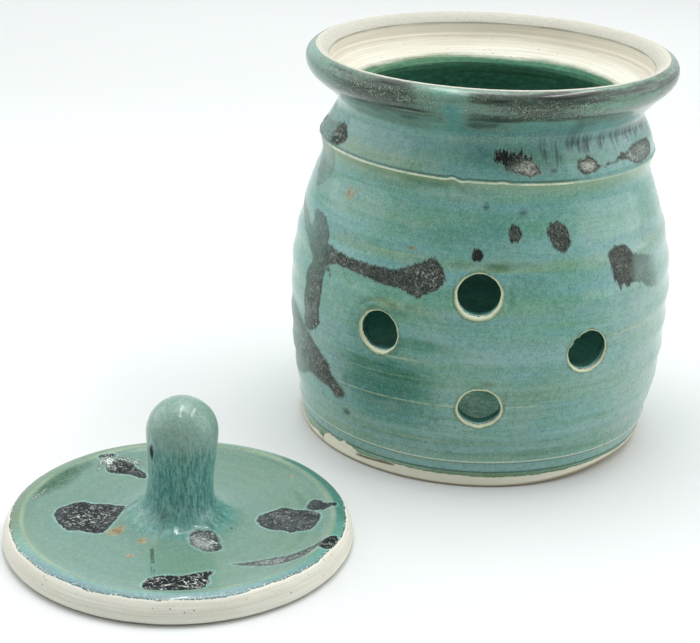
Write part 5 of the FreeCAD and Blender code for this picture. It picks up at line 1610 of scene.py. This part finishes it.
    # the foot's clay is painted lighter, as light thrown up from the table; browner where the foot turns under,
    # painted shade with a slight stain
    foot_painted_light = n.rng(sepz, 9.0, 7.0)
    clay = n.mix(n.mul(foot_painted_light, 0.55), clay, lin((230, 227, 206)))
    # painted shade with a slight stain: browner and darker below the foot's cut
    low = n.rng(n.sub(sepz, a("cut")), 0.75, 0.15)
    clay = n.mix(n.mul(low, 0.70), clay, lin((158, 138, 100)))
    # the bevel and crest clay is greyer and darker: partly its own grime, partly painted shade toning down the light
    # it takes from above
    top = n.rng(sepz, 125.2, 125.8)
    clay = n.mix(n.mul(top, 0.72), clay, n.mix(n.rng(grit, 0.40, 0.60), lin((182, 181, 171)), lin((158, 157, 146))))
    # painted shade on the ledge's upper part, near the foot of the wall
    clay = n.mix(n.mul(a("ledge_painted_shade"), 0.62), clay, n.mix(n.rng(ringn, 0.40, 0.60), lin((188, 181, 165)), lin((200, 194, 178))))
    # painted light with the clay's own warm tint: the gallery wall lighter and warmer
    clay = n.mix(n.mul(a("wall"), 0.85), clay, n.mix(n.rng(ringn, 0.40, 0.60), lin((233, 225, 206)), lin((242, 236, 220))))
    # painted shade: a thin dark line in the gallery's inner corner
    clay = n.mix(n.mul(a("corner"), 0.78), clay, lin((96, 88, 62)))
    iron = n.mul(n.rng(n.cells(n.coords((0.8, 0.8, 0.8)), 1.0, "F1", 1.0), 0.26, 0.18), n.rng(a("irons"), 0.3, 0.6))
    clay = n.mix(n.mul(iron, 0.85), clay, lin((52, 50, 40)))
    col = n.mix(bare, col, clay)
    crackv = n.clip(a("crack"))
    col = n.mix(crackv, col, lin((86, 80, 40)))
    # surface
    rough = n.mix(n.rng(cloud, 0.3, 0.7), (0.30, 0.30, 0.30, 1), (0.42, 0.42, 0.42, 1))
    rough = n.mix(mask, rough, n.mix(n.rng(tex, 0.35, 0.65), (0.46, 0.46, 0.46, 1), (0.68, 0.68, 0.68, 1)))
    rough = n.mix(n.mul(mid, 0.5), rough, (0.30, 0.30, 0.30, 1))
    rough = n.mix(n.mul(inn, 0.6), rough, (0.30, 0.30, 0.30, 1))
    rough = n.mix(n.mul(inn, n.rng(sepz, 100.0, 108.0)), rough, (0.62, 0.62, 0.62, 1))
    rough = n.mix(bo, rough, (0.22, 0.22, 0.22, 1))
    rough = n.mix(exposed, rough, (0.45, 0.45, 0.45, 1))
    rough = n.mix(bare, rough, (0.80, 0.80, 0.80, 1))
    coat = n.math("MAXIMUM", bare, n.mul(mask, 0.90))
    coat = n.math("MAXIMUM", coat, n.mul(inn, n.rng(sepz, 98.0, 106.0)))
    coat = n.math("MAXIMUM", coat, n.mul(bo, 0.55))
    coat = n.mul(n.sub(1.0, coat), 0.66)
    h = n.mul(mott, 0.026)
    h = n.add(h, n.mul(n.mul(rings, fine), 0.10))
    h = n.add(h, n.mul(line, 0.04))
    h = n.add(h, n.mul(n.mul(tex, mask), 0.14))
    h = n.add(h, n.mul(marks, 0.06))
    h = n.add(h, n.mul(n.mul(gr, mid), 0.03))
    hc = n.add(n.mul(ringn, 0.16), n.mul(grit, 0.08))
    h = n.mix(bare, h, hc)
    h = n.sub(h, n.mul(bare, 0.05))
    h = n.sub(h, n.mul(crackv, 0.2))
    return finish_material(n, col, rough, h, coat, 0.55)


def lid_material():
    n = Nodes("lid_glaze")
    a = n.attr
    col, mott, band, cloud = glaze_body(n, a("pool"), a("olive"), a("blue"), 0.0)
    wash = n.noise(n.coords((0.07, 0.07, 0.07)), 1.0, 3.0, 0.55, 0.2, 51.0)
    pale = n.mix(n.rng(wash, 0.35, 0.65), lin((100, 127, 108)), lin((100, 130, 119)))
    flat = n.sub(1.0, n.clip(n.add(n.add(a("knob"), a("kfoot")), n.add(n.mul(a("pool"), 1.2), n.mul(a("outer"), 0.75)))))
    col = n.mix(n.mul(flat, 0.74), col, pale)
    # the raised ring
    rr = a("lidr")
    ringl = n.mul(n.rng(n.math("ABSOLUTE", n.sub(rr, a("ringr"))), 1.15, 0.22), n.mad(n.rng(n.noise(n.coords((0.12, 0.12, 0.12)), 1.0, 2.0, 0.5, 0.0, 55.0), 0.35, 0.6), 0.6, 0.4))
    col = n.mix(n.mul(n.mul(ringl, a("ringw")), 0.60), col, lin((166, 184, 150)))
    # pooled green inside the ring at the left, blue speckle on the front edge
    cres = n.clip(n.mad(n.sub(mott, 0.5), 0.8, a("cres")))
    cres = n.mul(cres, n.rng(a("cres"), 0.05, 0.25))
    cre = n.mul(n.rng(cres, 0.10, 0.35), n.rng(cres, 0.75, 0.45))
    col = n.mix(n.mul(cres, n.rng(mott, 0.38, 0.60, 0.66, 0.94)), col, lin((32, 82, 48)))
    col = n.mix(n.mul(cre, 0.10), col, lin((40, 78, 48)))
    col = n.mix(n.mul(a("backb"), n.rng(mott, 0.40, 0.58, 0.52, 0.88)), col, lin((100, 122, 94)))
    col = n.mix(n.mul(n.mul(a("backb"), n.rng(rr, 47.9, 48.9)), 0.55), col, lin((92, 100, 82)))
    ft = n.noise(n.coords((1.5, 1.5, 1.5)), 1.0, 3.0, 0.7, 0.0, 56.0)
    fb = n.clip(n.mad(n.sub(ft, 0.5), 1.3, a("frontb")))
    fb = n.mul(fb, n.rng(a("frontb"), 0.05, 0.4))
    col = n.mix(n.mul(fb, 0.66), col, lin((102, 124, 134)))
    col = n.mix(n.mul(n.mul(fb, n.rng(ft, 0.55, 0.63)), 0.45), col, lin((188, 206, 206)))
    # the knob: streaks that ran down, pale and thin at the top
    k = a("knob")
    st = n.noise(n.coords((1.25, 1.25, 0.11)), 1.0, 4.0, 0.66, 0.0, 52.0)
    st2 = n.noise(n.coords((0.35, 0.35, 0.05)), 1.0, 2.0, 0.5, 0.0, 53.0)
    g0 = n.noise(n.coords((0.8, 0.8, 0.5)), 1.0, 4.0, 0.7, 0.3, 53.5)
    sep = n.new("ShaderNodeSeparateXYZ")
    n.put(sep.inputs[0], n.coords((1, 1, 1)))
    zz = sep.outputs[2]
    hgt = n.rng(n.add(zz, n.mul(n.sub(st, 0.5), 9.0)), 23.0, 40.0)
    low = n.mix(n.rng(st, 0.38, 0.62), lin((66, 131, 124)), lin((119, 170, 162)))
    low = n.mix(n.mul(n.rng(st2, 0.4, 0.6), 0.35), low, lin((60, 117, 120)))
    hi = n.mix(n.rng(mott, 0.36, 0.64), lin((132, 157, 143)), lin((113, 146, 133)))
    kn = n.mix(hgt, low, hi)
    dash = n.noise(n.coords((1.6, 1.6, 0.36)), 1.0, 3.0, 0.68, 0.0, 60.0)
    dk = n.rng(zz, 38.0, 26.0, 0.25, 1.0)
    kn = n.mix(n.mul(n.mul(n.rng(dash, 0.545, 0.61), dk), 0.56), kn, lin((28, 72, 64)))
    kn = n.mix(n.mul(n.mul(n.rng(dash, 0.455, 0.39), dk), 0.40), kn, lin((150, 188, 180)))
    col = n.mix(k, col, kn)
    col = n.mix(n.mul(n.mul(a("kfoot"), n.sub(1.0, k)), n.rng(st, 0.30, 0.62, 0.75, 0.15)), col, lin((60, 116, 104)))
    col = n.mix(n.mul(n.mul(a("kfoot"), n.rng(g0, 0.50, 0.62)), 0.45), col, lin((150, 182, 182)))
    ka = n.new("ShaderNodeCombineXYZ")
    for i, key in enumerate(("kax", "kay", "kar")):
        n.put(ka.inputs[i], a(key))
    rad = n.noise(ka.outputs[0], 0.75, 3.0, 0.62, 0.0, 59.0)
    fl = n.mul(a("kfoot"), n.sub(1.0, k))
    col = n.mix(n.mul(n.mul(fl, n.rng(rad, 0.52, 0.66)), 0.36), col, lin((150, 184, 174)))
    col = n.mix(n.mul(n.mul(fl, n.rng(rad, 0.48, 0.36)), 0.60), col, lin((36, 84, 76)))
    col, g1 = grain(n, col, mott, 0.62)
    ru = n.clip(n.mul(n.add(a("rust"), n.mul(n.sub(n.noise(n.coords((1.1, 1.1, 1.1)), 1.0, 3.0, 0.6, 0.0, 36.0), 0.5), 1.5)),
                      n.rng(a("rust"), 0.05, 0.35)))
    col = n.mix(n.rng(ru, 0.08, 0.75, 0.0, 0.86), col, n.mix(n.rng(mott, 0.42, 0.58), lin((132, 116, 76)), lin((174, 162, 126))))
    col = n.mix(n.rng(ru, 0.50, 0.95, 0.0, 0.6), col, lin((112, 90, 54)))
    # a broken line of drips in front of the knob
    dv = n.mul(n.rng(a("drip"), 0.25, 0.6), n.rng(n.noise(n.coords((0.55, 0.30, 0.55)), 1.0, 2.0, 0.6, 0.0, 57.0), 0.42, 0.50))
    col = n.mix(n.mul(dv, 0.80), col, lin((34, 62, 48)))
    col, mask, marks, tex = splash(n, col, a("sp_d"), a("sp_tone"), a("sp_cry"), a("sp_soft"), None, 0.74, None, "2")
    # white, glittering crystals with painted highlights among them, and painted highlights along the crescent's raised
    # end and the scar, on a dark ground
    br = a("bright")
    sp = n.noise(n.coords((2.6, 2.6, 2.6)), 1.0, 3.0, 0.72, 0.2, 54.0)
    brm = n.rng(n.add(br, n.mul(n.sub(sp, 0.5), 5.2)), 0.85, 1.15)
    brm = n.mul(brm, n.rng(br, 0.08, 0.3))
    col = n.mix(n.mul(n.rng(br, 0.25, 0.6), 0.62), col, lin((44, 60, 50)))
    col = n.mix(n.mul(brm, 0.92), col, lin((236, 242, 234)))
    ring = n.coords((0.03, 0.03, 3.0))
    clay, grit, ringn = clay_body(n, ring)
    e = n.noise(n.coords((0.8, 0.8, 0.8)), 1.0, 2.0, 0.6, 0.0, 42.0)
    be = n.mad(n.sub(e, 0.5), 0.55, a("bare"))
    crumb = n.mul(n.rng(n.noise(n.coords((1.5, 1.5, 1.5)), 1.0, 2.0, 0.6, 0.0, 58.0), 0.55, 0.60), n.rng(be, 0.85, 0.30))
    bare = n.math("MAXIMUM", n.rng(be, 0.06, -0.06), n.mul(crumb, 0.8))
    # a dark line on the glaze just above the bare clay, partly the thick rolled glaze and partly painted shade; the
    # clay close to the glaze painted lighter as a painted highlight
    dark = n.mul(n.rng(n.math("ABSOLUTE", n.sub(be, 0.22)), 0.34, 0.10), n.rng(mott, 0.34, 0.58, 0.25, 1.0))
    col = n.mix(n.mul(dark, 0.75), col, lin((46, 78, 68)))
    clay = n.mix(n.mul(n.rng(be, -0.8, -0.1), 0.40), clay, lin((238, 236, 226)))
    # painted light: the lid's side lighter towards the bottom, as light thrown up from the table
    clay = n.mix(n.mul(n.rng(zz, 4.2, 1.2), 0.45), clay, lin((244, 242, 230)))
    # a thin brown line at the very bottom: partly the clay's stain, partly painted shade where it meets the table
    low = n.rng(zz, 0.75, 0.15)
    clay = n.mix(n.mul(low, 0.6), clay, lin((170, 146, 104)))
    col = n.mix(bare, col, clay)
    rough = n.mix(n.rng(cloud, 0.3, 0.7), (0.32, 0.32, 0.32, 1), (0.44, 0.44, 0.44, 1))
    rough = n.mix(mask, rough, n.mix(n.rng(tex, 0.35, 0.65), (0.46, 0.46, 0.46, 1), (0.68, 0.68, 0.68, 1)))
    rough = n.mix(n.mul(brm, 0.8), rough, (0.15, 0.15, 0.15, 1))
    rough = n.mix(bare, rough, (0.82, 0.82, 0.82, 1))
    coat = n.mul(n.sub(1.0, n.math("MAXIMUM", bare, n.mul(mask, 0.92))), 0.64)
    h = n.mul(mott, 0.024)
    h = n.add(h, n.mul(n.mul(st, k), 0.05))
    h = n.add(h, n.mul(n.mul(tex, mask), 0.14))
    h = n.add(h, n.mul(marks, 0.06))
    h = n.add(h, n.mul(n.mul(sp, br), 0.12))
    hc = n.add(n.mul(ringn, 0.15), n.mul(grit, 0.08))
    h = n.mix(bare, h, hc)
    h = n.sub(h, n.mul(bare, 0.06))
    return finish_material(n, col, rough, h, coat, 0.55)


# =====================================================================
# build
# =====================================================================
jm = build_jar()
ja = jar_attributes(jm)
_s, _z, _f = azs(jm.value("th", 0)), jm.value("z", 0), jm.value("face", 0)
ja["ridge"] = np.where(_f == 1, np.clip(_z - 99.45, -12, 12), 12.0)
ja["ridgew"] = np.clip(window(_s, -66, 33, 7) + 0.75 * window(np.abs(_s), 105, 200, 12)
                       + 0.30, 0, 1)
ja["cut"] = np.where(_f == 1, foot_cut(jm.value("th", 0)), 0.0)
ja["footridge"] = np.where(_f == 1, np.clip(_z - 9.25, -12, 12), 12.0)
ja["crack"] = np.where(
    _f == 1,
    1.2 * window(_s, -39.6, -24.6, 0.8) * np.exp(-((_z - (2.85 + 0.65 * sstep(-40, -25, _s))) / 0.34) ** 2)
    + 0.9 * np.exp(-((_s + 58.3 + 0.35 * (_z - 2)) / 0.45) ** 2) * window(_z, 1.2, 4.2, 0.5), 0.0)
jar = jm.make("jar_body", ja)
jar.data.materials.append(jar_material())

lm = build_lid()
lid = lm.make("lid_body", lid_attributes(lm))
lid.data.materials.append(lid_material())

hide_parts("jar")
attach(jar, "jar")
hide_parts("lid")
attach(lid, "lid")

# =====================================================================
# floor, light and camera
# =====================================================================
def make_floor():
    me = bpy.data.meshes.new("floor")
    k = 6.0
    me.from_pydata([(-k, -k, -5e-5), (k, -k, -5e-5), (k, k, -5e-5), (-k, k, -5e-5)], [], [(0, 1, 2, 3)])
    ob = bpy.data.objects.new("floor", me)
    bpy.context.scene.collection.objects.link(ob)
    n = Nodes("floor_paper")
    sep = n.new("ShaderNodeSeparateXYZ")
    n.put(sep.inputs[0], n.coords((1, 1, 1)))
    far = n.rng(sep.outputs[1], 380.0, 700.0)
    col = n.mix(far, lin((214, 217, 216)), lin((226, 229, 228)))
    b = n.new("ShaderNodeBsdfPrincipled")
    n.put(b.inputs["Base Color"], col)
    b.inputs["Roughness"].default_value = 0.85
    b.inputs["IOR"].default_value = 1.3
    out = n.new("ShaderNodeOutputMaterial")
    n.t.links.new(b.outputs[0], out.inputs[0])
    me.materials.append(n.mat)


def area(name, loc, look, size, power, colour=(1, 1, 1)):
    d = bpy.data.lights.new(name, "AREA")
    d.shape = "RECTANGLE"
    d.size, d.size_y = size
    d.energy = power
    d.color = colour
    ob = bpy.data.objects.new(name, d)
    bpy.context.scene.collection.objects.link(ob)
    f = np.array(look, float) - np.array(loc, float)
    f /= np.linalg.norm(f)
    up = np.array([0, 1.0, 0]) if abs(f[2]) > 0.9 else np.array([0, 0, 1.0])
    r = np.cross(f, up)
    r /= np.linalg.norm(r)
    u_ = np.cross(r, f)
    ob.matrix_world = Matrix((
        (r[0], u_[0], -f[0], loc[0]), (r[1], u_[1], -f[1], loc[1]),
        (r[2], u_[2], -f[2], loc[2]), (0, 0, 0, 1)))
    ob.visible_camera = False
    return ob


make_floor()


def radiance(name, loc, look, size, value, colour=(1, 1, 1)):
    """An area light of a given brightness: power = pi * radiance * area."""
    return area(name, loc, look, size, PI * value * size[0] * size[1], colour)


radiance("left_wall", (-0.80, 0.02, 0.42), (0, 0.0, 0.06), (0.9, 0.7), 1.08)
radiance("right_wall", (0.80, 0.02, 0.42), (0, 0.0, 0.06), (0.9, 0.7), 1.26)
radiance("ceiling", (0.04, 0.22, 0.86), (0.04, 0.22, 0.0), (1.0, 0.9), 1.0)
radiance("key", (0.0, 0.10, 0.96), (0.0, 0.0, 0.0), (0.36, 0.36), 3.7)
radiance("strip_a", (-0.118, -0.065, 0.66), (-0.118, -0.065, 0.0), (0.022, 0.52), 26.0)
radiance("strip_b", (0.253, 0.06, 0.66), (0.253, 0.06, 0.0), (0.022, 0.56), 26.0)

world = bpy.data.worlds.new("studio")
bpy.context.scene.world = world
world.use_nodes = True
wt = world.node_tree
wt.nodes.clear()
tc = wt.nodes.new("ShaderNodeTexCoord")
sx = wt.nodes.new("ShaderNodeSeparateXYZ")
wt.links.new(tc.outputs["Generated"], sx.inputs[0])
mr = wt.nodes.new("ShaderNodeMapRange")
mr.interpolation_type = "SMOOTHSTEP"
wt.links.new(sx.outputs[1], mr.inputs[0])
mr.inputs[1].default_value = -0.95
mr.inputs[2].default_value = 0.35
mr.inputs[3].default_value = 0.42
mr.inputs[4].default_value = 0.85
bg = wt.nodes.new("ShaderNodeBackground")
bg.inputs[0].default_value = (0.97, 0.985, 1.0, 1)
wt.links.new(mr.outputs[0], bg.inputs[1])
wo = wt.nodes.new("ShaderNodeOutputWorld")
wt.links.new(bg.outputs[0], wo.inputs[0])

cam_data = bpy.data.cameras.new("camera")
cam_data.sensor_width = 36.0
cam_data.sensor_fit = "HORIZONTAL"
cam_data.lens = 87.976
cam_data.clip_start, cam_data.clip_end = 0.01, 30.0
cam = bpy.data.objects.new("camera", cam_data)
bpy.context.scene.collection.objects.link(cam)
right = (0.99537883, 0.09072846, 0.03145378)
up = (-0.06277874, 0.36698758, 0.92810503)
fwd = (-0.0726624, 0.92579072, -0.37098748)
cam.matrix_world = Matrix((
    (right[0], up[0], -fwd[0], 0.0),
    (right[1], up[1], -fwd[1], -0.544680),
    (right[2], up[2], -fwd[2], 0.248882),
    (0, 0, 0, 1)))
bpy.context.scene.camera = cam
bpy.context.scene.view_settings.view_transform = "Standard"
bpy.context.scene.view_settings.look = "None"

print("triangles", {o.name: sum(len(p.vertices) - 2 for p in o.data.polygons) for o in (jar, lid)})
